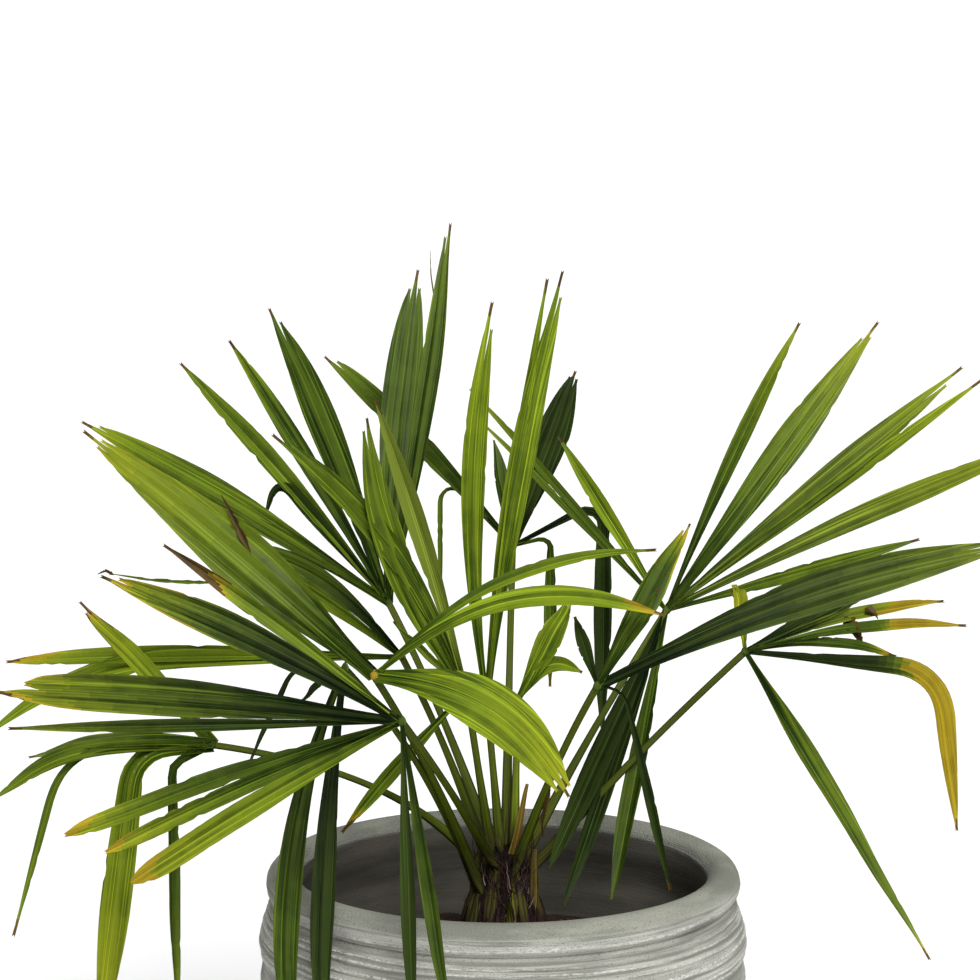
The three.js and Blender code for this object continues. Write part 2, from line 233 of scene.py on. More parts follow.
def tube(name: str, centres: Array, across: Array, deep: Array, section: Array) -> Piece:
    """A closed tube whose rings lie about a route, wrapped from a flat grid.

    Args:
        name: The piece's name.
        centres: The rings' centres in millimetres, from foot to tip.
        across: For each ring, the unit way that its width runs.
        deep: For each ring, the unit way that its depth runs.
        section: For each ring, rows of how far each side lies across and deep, in millimetres.

    Returns:
        The closed mesh object, with a UV map in metres round and along it.
    """
    rings, sides = section.shape[:2]
    deselect_all()
    bpy.ops.mesh.primitive_grid_add(x_subdivisions=sides, y_subdivisions=rings - 1, size=1)
    piece = bpy.context.object
    piece.name = name
    flat = places_of(piece) + 0.5
    side = np.rint(flat[:, 0] * sides).astype(int)
    ring = np.rint(flat[:, 1] * (rings - 1)).astype(int)
    offset = section[ring, side % sides]
    places = centres[ring] + across[ring] * offset[:, :1] + deep[ring] * offset[:, 1:]
    lengths = np.concatenate([[0], np.cumsum(np.linalg.norm(np.diff(centres, axis=0), axis=1))])
    girth = TAU * np.abs(section).max() * MM
    scale_uv(piece, np.array([girth, lengths[-1] * MM]))
    move_to(piece, places * MM)
    paint(piece, "share", ring / (rings - 1))
    paint(piece, "margin", np.abs(offset[:, 0]) / np.abs(section[:, :, 0]).max(axis=1)[ring])
    close_up(piece, 1e-6, fill=True)
    return piece


def scale_uv(piece: Piece, size: Array) -> None:
    """Scales a mesh's UV map from 0 to 1 up to its real size.

    Args:
        piece: The mesh.
        size: How far the map reaches across and along, in metres.
    """
    layer = piece.data.uv_layers.active
    flat = np.empty(len(layer.data) * 2, np.float32)
    layer.data.foreach_get("uv", flat)
    layer.data.foreach_set("uv", (flat.reshape(-1, 2) * size).astype(np.float32).ravel())
    layer.name = "grain"


def finish_piece(
    piece: Piece, node: str, finish: "Finish | None" = None, crease: float = 50.0
) -> Piece:
    """Shades a piece, ties it to the frame and reports it.

    Args:
        piece: The built mesh.
        node: The solid that it stands for.
        finish: Its one finish, where it has no materials yet.
        crease: The angle in degrees from which an edge stays sharp.

    Returns:
        The finished piece.
    """
    if finish:
        piece.data.materials.append(finish.material())
    activate(piece)
    bpy.ops.object.shade_smooth_by_angle(angle=math.radians(crease))
    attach(piece, "root")
    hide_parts(node)
    triangles = sum(len(face.vertices) - 2 for face in piece.data.polygons)
    LOG.info("%s: %d triangles", piece.name, triangles)
    return piece


def ribbon_faces(rows: int, columns: int) -> Array:
    """The faces of a flat ribbon that is closed all round.

    Args:
        rows: How many rows of vertices each side has; the lower side's follow the upper side's.
        columns: How many vertices a row has.

    Returns:
        The faces of the upper side, the lower side, both rims, and the first and last end, in that order.
    """
    upper = np.arange(rows * columns).reshape(rows, columns)
    lower = upper + rows * columns
    parts = []
    for side, grid in ((1, upper), (-1, lower)):
        quad = np.stack([grid[:-1, :-1], grid[:-1, 1:], grid[1:, 1:], grid[1:, :-1]], axis=-1)
        parts.append(quad[..., ::side].reshape(-1, 4))
    for column, way in ((0, 1), (columns - 1, -1)):
        low, high = lower[:, column], upper[:, column]
        parts.append(np.stack([low[:-1], high[:-1], high[1:], low[1:]], axis=-1)[:, ::way])
    for row, way in ((0, -1), (rows - 1, 1)):
        low, high = lower[row], upper[row]
        parts.append(np.stack([high[:-1], high[1:], low[1:], low[:-1]], axis=-1)[:, ::way])
    return np.concatenate(parts)


def ring_faces(rings: int, sides: int) -> Array:
    """The faces between rings of vertices that each close on themselves.

    Args:
        rings: How many rings there are.
        sides: How many vertices a ring has.

    Returns:
        The faces, ring by ring.
    """
    number = np.arange(rings * sides).reshape(rings, sides)
    after = np.roll(number, -1, axis=1)
    return np.stack([number[:-1], number[1:], after[1:], after[:-1]], axis=-1).reshape(-1, 4)


@dataclass
class MeshSheaf:
    """Many small closed strips that are joined as one mesh."""

    strips: list[dict[str, Array]] = field(default_factory=list)
    count: int = 0

    def add(
        self,
        places: Array,
        faces: Array,
        slots: Array | int,
        grain: Array,
        shade: float,
        reach: Array | float = 0.5,
    ) -> None:
        """Adds one closed strip.

        Args:
            places: Vertex places in millimetres.
            faces: Rows of four vertex numbers.
            slots: The material slot of all its faces, or of each.
            grain: For each vertex, metres across and along the strip.
            shade: How light this strip is among its like, from 0 to 1.
            reach: How far along the strip each vertex lies, from 0 to 1.
        """
        strip = {"places": places, "faces": faces + self.count, "grain": grain}
        strip["slots"] = np.broadcast_to(slots, len(faces))
        strip["shade"] = np.broadcast_to(shade, len(places))
        strip["reach"] = np.broadcast_to(reach, len(places))
        self.strips.append(strip)
        self.count += len(places)

    def add_ribbon(
        self,
        upper: Array,
        lower: Array,
        slots: Array | int,
        grain: tuple[Array, Array],
        shade: float,
        reach: Array | float = 0.5,
    ) -> None:
        """Adds one ribbon, closed all round.

        Args:
            upper: The places of its upper side in millimetres, by row and column.
            lower: The places of its lower side.
            slots: The material slot of all its faces, or of each in the order of ribbon_faces.
            grain: Metres across and metres along the ribbon.
            shade: How light this ribbon is among its like, from 0 to 1.
            reach: How far along the ribbon each row lies, from 0 to 1.
        """
        rows, columns = upper.shape[:2]
        places = np.concatenate([upper.reshape(-1, 3), lower.reshape(-1, 3)])
        metres = np.stack(np.broadcast_arrays(*grain), axis=-1).reshape(-1, 2)
        level = np.tile(np.repeat(np.broadcast_to(reach, rows), columns), 2)
        self.add(places, ribbon_faces(rows, columns), slots, np.tile(metres, (2, 1)), shade, level)

    def joined(self, part: str) -> Array:
        """One part of all the strips, end to end."""
        return np.concatenate([strip[part] for strip in self.strips])

    def make(self, name: str, finishes: "Iterable[Finish]", node: str, slot: str) -> Piece:
        """The joined and finished mesh object.

        Args:
            name: The piece's name.
            finishes: Its finishes, in the order of their slots.
            node: The solid that it stands for.
            slot: Not used.

        Returns:
            The object, at the origin.
        """
        faces = self.joined("faces")
        mesh = bpy.data.meshes.new(name)
        mesh.from_pydata((self.joined("places") * MM).tolist(), [], faces.tolist())
        for finish in finishes:
            mesh.materials.append(finish.material())
        mesh.polygons.foreach_set("material_index", self.joined("slots").astype(np.int32))
        grain = self.joined("grain")[faces.ravel()]
        mesh.uv_layers.new(name="grain").data.foreach_set("uv", grain.astype(np.float32).ravel())
        mesh.update()
        piece = bpy.data.objects.new(name, mesh)
        bpy.context.scene.collection.objects.link(piece)
        for mark in ("shade", "reach"):
            paint(piece, mark, self.joined(mark))
        return finish_piece(piece, node)


# Materials


def scaled(colour: Colour, gain: float) -> Colour:
    """A colour made lighter or darker by a gain."""
    return tuple(gain * part for part in colour)


def towards(colour: Colour, other: Colour, share: float) -> Colour:
    """A colour moved a share of the way to another."""
    return tuple(lerp(one, two, share) for one, two in zip(colour, other))


class Wiring:
    """Places and joins the nodes of one material or group."""

    def __init__(self, tree: bpy.types.NodeTree) -> None:
        """Keeps the tree that the nodes go into."""
        self.tree = tree

    def find(self, kind: str) -> bpy.types.Node:
        """The tree's first node of a kind."""
        return next(node for node in self.tree.nodes if node.bl_idname == kind)

    def link(self, source: Socket, target: Socket) -> None:
        """Joins two sockets."""
        self.tree.links.new(source, target)

    def feed(self, socket: Socket, value: object) -> None:
        """Feeds a socket with another socket, a number or a colour.

        Args:
            socket: The socket to feed.
            value: Another socket, which is joined to it, or a number or colour, which it keeps.
        """
        if isinstance(value, Socket):
            self.link(value, socket)
        else:
            socket.default_value = (*value, 1.0) if isinstance(value, tuple) else value

    def noise(self, place: Socket, scale: Point, detail: float = 3.0) -> Socket:
        """A noise from 0 to 1.

        Args:
            place: The coordinates that it reads.
            scale: How fine it is along each axis, per metre.
            detail: How many finer layers it has.

        Returns:
            The noise's value.
        """
        mapping = self.tree.nodes.new("ShaderNodeMapping")
        mapping.inputs["Scale"].default_value = scale
        self.link(place, mapping.inputs["Vector"])
        noise = self.tree.nodes.new("ShaderNodeTexNoise")
        noise.inputs["Scale"].default_value = 1.0
        noise.inputs["Detail"].default_value = detail
        self.link(mapping.outputs["Vector"], noise.inputs["Vector"])
        return noise.outputs["Fac"]

    def maths(self, operation: str, *values: object) -> Socket:
        """The result of one sum.

        Args:
            operation: Blender's name for the sum.
            *values: The numbers or sockets that it works on, in order.

        Returns:
            The result.
        """
        node = self.tree.nodes.new("ShaderNodeMath")
        node.operation = operation
        for socket, value in zip(node.inputs, values):
            self.feed(socket, value)
        return node.outputs[0]

    def weighed(self, shares: Iterable[tuple[Socket, float]]) -> Socket:
        """The sum of several values.

        Args:
            shares: Each value with its weight.

        Returns:
            The sum of the values times their weights.
        """
        total = None
        for value, weight in shares:
            part = self.maths("MULTIPLY", value, weight)
            total = part if total is None else self.maths("ADD", total, part)
        return total

    def spread(
        self, value: Socket, low: float, high: float, first: float = 0.0, last: float = 1.0
    ) -> Socket:
        """A value mapped softly from one range to another.

        Args:
            value: The value to map.
            low: Where the mapping starts.
            high: Where it ends.
            first: What low becomes.
            last: What high becomes.

        Returns:
            The mapped value.
        """
        node = self.tree.nodes.new("ShaderNodeMapRange")
        node.interpolation_type = "SMOOTHSTEP"
        for index, number in enumerate((low, high, first, last), start=1):
            node.inputs[index].default_value = number
        self.link(value, node.inputs[0])
        return node.outputs[0]

    def mix(self, factor: object, one: object, other: object) -> Socket:
        """Two colours mixed by a factor.

        Args:
            factor: A socket or number from 0 to 1.
            one: The colour at 0, as a socket or three numbers.
            other: The colour at 1, as a socket or three numbers.

        Returns:
            The mixed colour.
        """
        node = self.tree.nodes.new("ShaderNodeMix")
        node.data_type = "RGBA"
        for index, value in ((0, factor), (6, one), (7, other)):
            self.feed(node.inputs[index], value)
        return node.outputs[2]

    def attribute(self, name: str) -> Socket:
        """A value that a piece keeps for each vertex.

        Args:
            name: What the value is called.

        Returns:
            The value.
        """
        node = self.tree.nodes.new("ShaderNodeAttribute")
        node.attribute_name = name
        return node.outputs["Fac"]

    def object_place(self) -> Socket:
        """The place on the piece, in metres."""
        return self.tree.nodes.new("ShaderNodeTexCoord").outputs["Object"]

    def grain_place(self) -> Socket:
        """The place on the piece's own UV map.

        Returns:
            The place, in metres across and along.
        """
        node = self.tree.nodes.new("ShaderNodeUVMap")
        node.uv_map = "grain"
        return node.outputs["UV"]

    def group(self, tree: bpy.types.NodeTree, **values: object) -> bpy.types.Node:
        """A group placed in this tree with its own values.

        Args:
            tree: The group.
            **values: A value or socket for each input, by name.

        Returns:
            The group's node.
        """
        node = self.tree.nodes.new("ShaderNodeGroup")
        node.node_tree = tree
        for label, value in values.items():
            self.feed(node.inputs[label], value)
        return node

    def surface(self, colour: object, roughness: object) -> None:
        """Feeds the shader's colour and roughness.

        Args:
            colour: The colour, as a socket or three numbers.
            roughness: The roughness, as a socket or number.
        """
        shader = self.find("ShaderNodeBsdfPrincipled")
        self.feed(shader.inputs["Base Color"], colour)
        self.feed(shader.inputs["Roughness"], roughness)

    def bump(self, height: Socket, depth: float, strength: float = 1.0) -> None:
        """Raises the surface by a height.

        Args:
            height: The height from 0 to 1.
            depth: How far 1 stands out, in metres.
            strength: How much of it shows.
        """
        node = self.tree.nodes.new("ShaderNodeBump")
        node.inputs["Distance"].default_value = depth
        node.inputs["Strength"].default_value = strength
        self.link(height, node.inputs["Height"])
        self.link(node.outputs["Normal"], self.find("ShaderNodeBsdfPrincipled").inputs["Normal"])


def shared_group(
    name: str,
    inputs: dict[str, str],
    outputs: dict[str, str],
    fill: Callable[[Wiring, bpy.types.NodeOutputs], dict[str, Socket]],
) -> bpy.types.NodeTree:
    """A shader node group, made once.

    Args:
        name: The group's name.
        inputs: Socket types by name.
        outputs: Socket types by name.
        fill: What places the group's nodes, and gives the socket for each output by name.

    Returns:
        The group.
    """
    known = bpy.data.node_groups.get(name)
    if known:
        return known
    group = bpy.data.node_groups.new(name, "ShaderNodeTree")
    for way, sockets in (("INPUT", inputs), ("OUTPUT", outputs)):
        for label, kind in sockets.items():
            group.interface.new_socket(label, in_out=way, socket_type=f"NodeSocket{kind}")
    given = group.nodes.new("NodeGroupInput").outputs
    made = group.nodes.new("NodeGroupOutput").inputs
    wires = Wiring(group)
    for label, socket in fill(wires, given).items():
        wires.link(socket, made[label])
    return group


VEIN_SCALE: Point = (1300.0, 10.0, 1.0)
LINE_SCALE: Point = (520.0, 3.0, 1.0)
BROAD_SCALE: Point = (170.0, 2.5, 1.0)
MOTTLE_SCALE: Point = (42.0, 42.0, 42.0)
CLOUD_SCALE: Point = (11.0, 11.0, 70.0)
SPECK_SCALE: Point = (620.0, 620.0, 620.0)
RAGGED_SCALE: Point = (620.0, 14.0, 1.0)
FLECK_SCALE: Point = (520.0, 22.0, 1.0)
WORN_SCALE: Point = (240.0, 240.0, 500.0)
DUST_SCALE: Point = (9.0, 9.0, 430.0)
GRIT_SCALE: Point = (520.0, 520.0, 900.0)
COMB_SCALE: Point = (12.0, 12.0, 520.0)
CRUMB_SCALE: Point = (160.0, 160.0, 160.0)
STREAK_SOCKETS = {
    "Place": "Vector",
    "Body": "Vector",
    "Shade": "Float",
    "Reach": "Float",
    "Deep": "Color",
    "Light": "Color",
    "Line": "Color",
}


def fill_streaks(wires: Wiring, given: bpy.types.NodeOutputs) -> dict[str, Socket]:
    """Long streaks, veins and mottling on anything that grows; leaflets darken towards the hub, partly in
    their own colour and partly as painted shade.

    Args:
        wires: The group's wiring.
        given: What the group is given, by name.

    Returns:
        What it gives, by name.
    """
    veins = wires.noise(given["Place"], VEIN_SCALE, 1.0)
    broad = wires.noise(given["Place"], BROAD_SCALE, 2.0)
    mottle = wires.noise(given["Body"], MOTTLE_SCALE, 3.0)
    shares = (
        (wires.spread(veins, 0.36, 0.64), 0.24),
        (wires.spread(broad, 0.4, 0.62), 0.42),
        (wires.spread(mottle, 0.36, 0.64), 0.16),
        (given["Shade"], 0.18),
        # Painted shade, in part: leaflets darken towards the hub, where others crowd and shade them, and
        # lighten towards the tip; the rest of this is their own colour.
        (wires.spread(given["Reach"], 0.0, 0.55), 0.36),
        (wires.spread(given["Reach"], 0.5, 1.0), 0.1),
    )
    ground = wires.mix(wires.spread(wires.weighed(shares), 0.27, 1.17), given["Deep"], given["Light"])
    fine = wires.noise(given["Place"], LINE_SCALE, 1.0)
    lined = wires.maths("MULTIPLY", wires.spread(fine, 0.57, 0.7), 0.75)
    return {
        "Colour": wires.mix(lined, ground, given["Line"]),
        "Height": wires.maths("ADD", veins, fine),
        "Roughness": wires.spread(broad, 0.3, 0.7, 0.42, 0.58),
    }


def fill_speckle(wires: Wiring, given: bpy.types.NodeOutputs) -> dict[str, Socket]:
    """Grit, pits and cloudy tone on stone and soil.

    Args:
        wires: The group's wiring.
        given: What the group is given, by name.

    Returns:
        What it gives, by name.
    """
    cloud = wires.noise(given["Body"], CLOUD_SCALE, 5.0)
    grit = wires.noise(given["Body"], SPECK_SCALE, 2.0)
    specks = wires.maths("MULTIPLY", wires.spread(grit, 0.56, 0.7), given["Grit"])
    tone = wires.maths("SUBTRACT", wires.spread(cloud, 0.3, 0.7), specks)
    return {"Colour": wires.mix(wires.spread(tone, -0.3, 1.0), given["Deep"], given["Light"])}


def speckled(wires: Wiring, body: Socket, deep: Colour, light: Colour, grit: float) -> Socket:
    """The colour of gritty stone or soil.

    Args:
        wires: The material's wiring.
        body: The place on the piece.
        deep: Its dark tone.
        light: Its light tone.
        grit: How much the dark specks show.

    Returns:
        The colour.
    """
    sockets = {"Body": "Vector", "Deep": "Color", "Light": "Color", "Grit": "Float"}
    group = shared_group("stone_speckle", sockets, {"Colour": "Color"}, fill_speckle)
    return wires.group(group, Body=body, Deep=deep, Light=light, Grit=grit).outputs["Colour"]


@dataclass(frozen=True)
class Finish:
    """What every finish has: a name, the strength of its gloss and two tones."""

    name: str
    specular: float
    deep: Colour
    light: Colour

    def material(self) -> bpy.types.Material:
        """The finish's material, made once.

        Returns:
            The material.
        """
        known = bpy.data.materials.get(self.name)
        if known:
            return known
        material = bpy.data.materials.new(self.name)
        material.use_nodes = True
        wires = Wiring(material.node_tree)
        shader = wires.find("ShaderNodeBsdfPrincipled")
        shader.inputs["Specular IOR Level"].default_value = self.specular
        self.wire(wires)
        return material

    def wire(self, wires: Wiring) -> None:
        """Wires the shader, as each kind of finish does in its own way."""
        raise NotImplementedError


@dataclass(frozen=True)
class FloorFinish(Finish):
    """A plain floor with a faint cloud in its tone."""

    roughness: float = 0.9

    def wire(self, wires: Wiring) -> None:
        """Wires the plain material."""
        cloud = wires.noise(wires.object_place(), (0.3, 0.3, 0.3), 1.0)
        wires.surface(wires.mix(cloud, self.deep, self.light), self.roughness)


@dataclass(frozen=True)
class GrowthFinish(Finish):
    """Leaf, rib, fibre or dry tip: two tones mixed by streaks along the growth."""

    vein_depth: float = 0.0002
    line_gain: float = 1.3

    def streaks(self, wires: Wiring, shade: object, reach: object) -> bpy.types.Node:
        """The growth streaks in this finish's tones.

        Args:
            wires: The material's wiring.
            shade: How light the strip is among its like, as a socket or number.
            reach: How far along the strip the place lies, as a socket or number.

        Returns:
            The group's node, which gives a colour, a height and a roughness.
        """
        outputs = {"Colour": "Color", "Height": "Float", "Roughness": "Float"}
        return wires.group(
            shared_group("growth_streaks", STREAK_SOCKETS, outputs, fill_streaks),
            Place=wires.grain_place(),
            Body=wires.object_place(),
            Shade=shade,
            Reach=reach,
            Deep=self.deep,
            Light=self.light,
            Line=scaled(self.light, self.line_gain),
        )

    def wire(self, wires: Wiring) -> None:
        """Wires the streaked material.

        Args:
            wires: The material's wiring.
        """
        streaks = self.streaks(wires, wires.attribute("shade"), wires.attribute("reach")).outputs
        wires.surface(streaks["Colour"], streaks["Roughness"])
        wires.bump(streaks["Height"], self.vein_depth, 0.6)


@dataclass(frozen=True)
class StalkFinish(GrowthFinish):
    """A leaf stalk: green and satin above, with painted shade along both edges, olive, then brown and
    fibrous where it clasps the trunk.
    """

    vein_depth: float = 0.0005
    line_gain: float = 1.4
    olive: Colour = (0.07, 0.075, 0.009)
    husk: Colour = (0.022, 0.012, 0.012)
    husk_until: tuple[float, float] = (0.01, 0.11)
    olive_until: tuple[float, float] = (0.2, 0.36)
    roughness: float = 0.5
    husk_roughness: float = 0.9

    def wire(self, wires: Wiring) -> None:
        """Wires the material, whose husk ends raggedly at its share of the stalk.

        Args:
            wires: The material's wiring.
        """
        grain = wires.grain_place()
        streaks = self.streaks(wires, shade=0.5, reach=0.4).outputs
        ragged = wires.noise(grain, RAGGED_SCALE, 2.0)
        level = wires.maths("MULTIPLY_ADD", ragged, -0.2, wires.attribute("share"))
        fleck = wires.spread(wires.noise(grain, FLECK_SCALE, 3.0), 0.44, 0.56)
        clasped = wires.mix(wires.spread(level, *self.husk_until), self.husk, self.olive)
        spotted = wires.mix(wires.maths("MULTIPLY", fleck, 0.85), clasped, self.husk)
        # Painted shade: the stalk darkens towards both edges, where its rounded sides turn from the light.
        margin = wires.spread(wires.attribute("margin"), 0.55, 0.98)
        shaded_edges = wires.mix(margin, streaks["Colour"], scaled(self.deep, 0.3))
        green = wires.spread(level, *self.olive_until)
        gloss = wires.spread(green, 0.0, 1.0, self.husk_roughness, self.roughness)
        wires.surface(wires.mix(green, spotted, shaded_edges), gloss)
        wires.bump(wires.maths("ADD", streaks["Height"], ragged), self.vein_depth, 0.7)


@dataclass(frozen=True)
class StonewareFinish(Finish):
    """Pale grey stoneware: painted highlight and chalky wear on its ledges, painted shade in its grooves,
    dark inside.
    """

    # The pale tone of the painted highlight on the ledges and of the dust streaks.
    ledge: Colour = (0.61, 0.61, 0.56)
    lip: Colour = (0.29, 0.295, 0.245)
    inside: Colour = (0.108, 0.1, 0.08)
    grit_depth: float = 0.001

    def wire(self, wires: Wiring) -> None:
        """Wires the material to the relief that the pot keeps for each vertex.

        Args:
            wires: The material's wiring.
        """
        body = wires.object_place()
        relief, lip, inner = (wires.attribute(name) for name in ("relief", "lip", "inner"))
        stone = speckled(wires, body, self.deep, self.light, 0.8)
        rim = speckled(wires, body, scaled(self.lip, 0.6), self.lip, 0.9)
        wall = speckled(wires, body, scaled(self.inside, 0.7), self.inside, 0.4)
        # Painted shade: where the relief falls below zero, in the grooves under the ledges, the colour
        # darkens to the deep tone.
        low = wires.mix(wires.spread(relief, -1.0, -0.1), self.deep, stone)
        worn = wires.noise(body, WORN_SCALE, 3.0)
        # Painted highlight, broken by worn noise: the ledges turn pale where the relief is high, partly as
        # chalky wear.
        chalk_and_highlight = wires.maths("MULTIPLY", wires.spread(relief, 0.1, 0.75), wires.spread(worn, 0.34, 0.6))
        dust = wires.spread(wires.noise(body, DUST_SCALE, 4.0), 0.5, 0.66)
        highlight_and_dust = wires.maths("MAXIMUM", chalk_and_highlight, wires.maths("MULTIPLY", dust, 0.35))
        lipped = wires.mix(lip, wires.mix(highlight_and_dust, low, self.ledge), rim)
        grit = wires.noise(body, GRIT_SCALE, 4.0)
        lines = wires.noise(body, COMB_SCALE, 4.0)
        smoothed = wires.maths("MAXIMUM", wires.maths("MULTIPLY", lip, 0.8), inner)
        combed = wires.maths("MULTIPLY", lines, wires.spread(smoothed, 0.0, 1.0, 2.0, 0.3))
        pitted = wires.maths("MULTIPLY", grit, wires.spread(inner, 0.0, 1.0, 1.9, 0.4))
        wires.surface(wires.mix(inner, lipped, wall), wires.spread(grit, 0.2, 0.8, 0.7, 0.95))
        wires.bump(wires.maths("ADD", pitted, combed), self.grit_depth)


@dataclass(frozen=True)
class SoilFinish(Finish):
    """Damp potting soil with reddish litter."""

    grit: float = 0.9
    crumb_depth: float = 0.004

    def wire(self, wires: Wiring) -> None:
        """Wires the crumbly material.

        Args:
            wires: The material's wiring.
        """
        body = wires.object_place()
        lumps = wires.noise(body, CRUMB_SCALE, 5.0)
        crumbs = speckled(wires, body, self.deep, self.light, self.grit)
        wires.surface(crumbs, wires.spread(lumps, 0.2, 0.8, 0.8, 1.0))
        wires.bump(lumps, self.crumb_depth)


# Leaf colours


class Tone(Enum):
    """The greens that the leaflets take, from the darkest to dry yellow, each as dark and light; the deep
    and dark tones are partly painted shade, as they go to leaflets that lie in shade within the crown.
    """

    DEEP = ((0.003, 0.008, 0.002), (0.022, 0.037, 0.005))
    DARK = ((0.008, 0.018, 0.002), (0.056, 0.09, 0.007))
    GREEN = ((0.015, 0.034, 0.003), (0.104, 0.15, 0.009))
    MATTE = ((0.032, 0.055, 0.008), (0.128, 0.165, 0.018))
    FRESH = ((0.034, 0.065, 0.004), (0.163, 0.22, 0.01))
    LIME = ((0.075, 0.1, 0.005), (0.27, 0.28, 0.012))
    AGED = ((0.13, 0.1, 0.006), (0.34, 0.23, 0.018))


DEEP, DARK, GREEN, MATTE, FRESH, LIME, AGED = Tone
RIB_GAIN = 1.75
UNDER_TINT: Colour = (0.09, 0.12, 0.02)
UNDER_SHARE = 0.16
STALK_TINT: Colour = (0.13, 0.16, 0.008)
STALK_SHARE = 0.35
LEAST_RED = 0.78
YELLOWED = GrowthFinish("leaf_yellowed", 0.1, (0.13, 0.085, 0.004), (0.33, 0.25, 0.013))
BROWNED = GrowthFinish("leaf_browned", 0.1, (0.012, 0.007, 0.003), (0.095, 0.056, 0.01))


def upper_finish(tone: Tone) -> GrowthFinish:
    """The finish of a leaflet's upper side."""
    return GrowthFinish(f"leaf_{tone.name.lower()}_upper", 0.1, *tone.value, line_gain=1.8)


def under_finish(tone: Tone) -> GrowthFinish:
    """The finish of a leaflet's duller underside."""
    pair = (towards(colour, UNDER_TINT, UNDER_SHARE) for colour in tone.value)
    return GrowthFinish(f"leaf_{tone.name.lower()}_under", 0.08, *pair)


def rib_finish(tone: Tone) -> GrowthFinish:
    """The finish of a leaflet's midrib, paler than its tone."""
    pair = (scaled(colour, RIB_GAIN) for colour in tone.value)
    return GrowthFinish(f"leaf_{tone.name.lower()}_rib", 0.1, *pair)


def stalk_finish(tone: Tone) -> StalkFinish:
    """The finish of a leaf stalk, yellower than its tone."""
    pair = (towards(colour, STALK_TINT, STALK_SHARE) for colour in tone.value)
    return StalkFinish(f"stalk_{tone.name.lower()}", 0.1, *pair)


def turning(finish: GrowthFinish, share: float) -> GrowthFinish:
    """A leaf finish on its way to yellow, by way of lime, which reddens last.

    Args:
        finish: The fresh finish.
        share: How far it has turned, from 0 to 1.

    Returns:
        The turned finish.
    """
    if share >= 1:
        return YELLOWED
    pair = []
    for own, (red, *others) in zip((finish.deep, finish.light), LIME.value):
        lime = (lerp(LEAST_RED, 1.0, share) * red, *others)
        pair.append(tuple(one ** (1 - share) * two**share for one, two in zip(own, lime)))
    return replace(finish, name=f"{finish.name}_turning_{round(100 * share)}", deep=pair[0], light=pair[1])


# The plant's own sizes, which the solids share


@dataclass(frozen=True)
class Leaflet:
    """One leaflet of a fan, in millimetres, degrees and shares of its length."""

    clock: float
    length: float
    width: float
    tone: Tone
    folds: int = 1
    fall: float = 0.0
    bend: tuple[float, float] = (0.0, 1.0)
    sweep: float = 0.0
    lean: float = 0.0
    turn: float = 1.0
    yellow: float = 1.0
    brown: float = 0.978
    edge: float = 1.0
    pleat: float = 1.0
    widest: float = 0.6
    taper: float = 1.7
    split: float = 0.82


@dataclass(frozen=True)
class Shred:
    """A torn or dry strip that hangs from a leaf, in millimetres."""

    route: tuple[Point, ...]
    width: float
    finish: GrowthFinish


@dataclass(frozen=True)
class Leaf:
    """One leaf: its stalk's route and the fan at its hub."""

    name: str
    hub: Point
    face: tuple[float, float]
    foot: Point
    arch: float
    leaflets: tuple[Leaflet, ...]
    stalk: Tone = DARK
    hub_tone: Tone = DARK
    root_share: float = 0.24
    shreds: tuple[Shred, ...] = ()
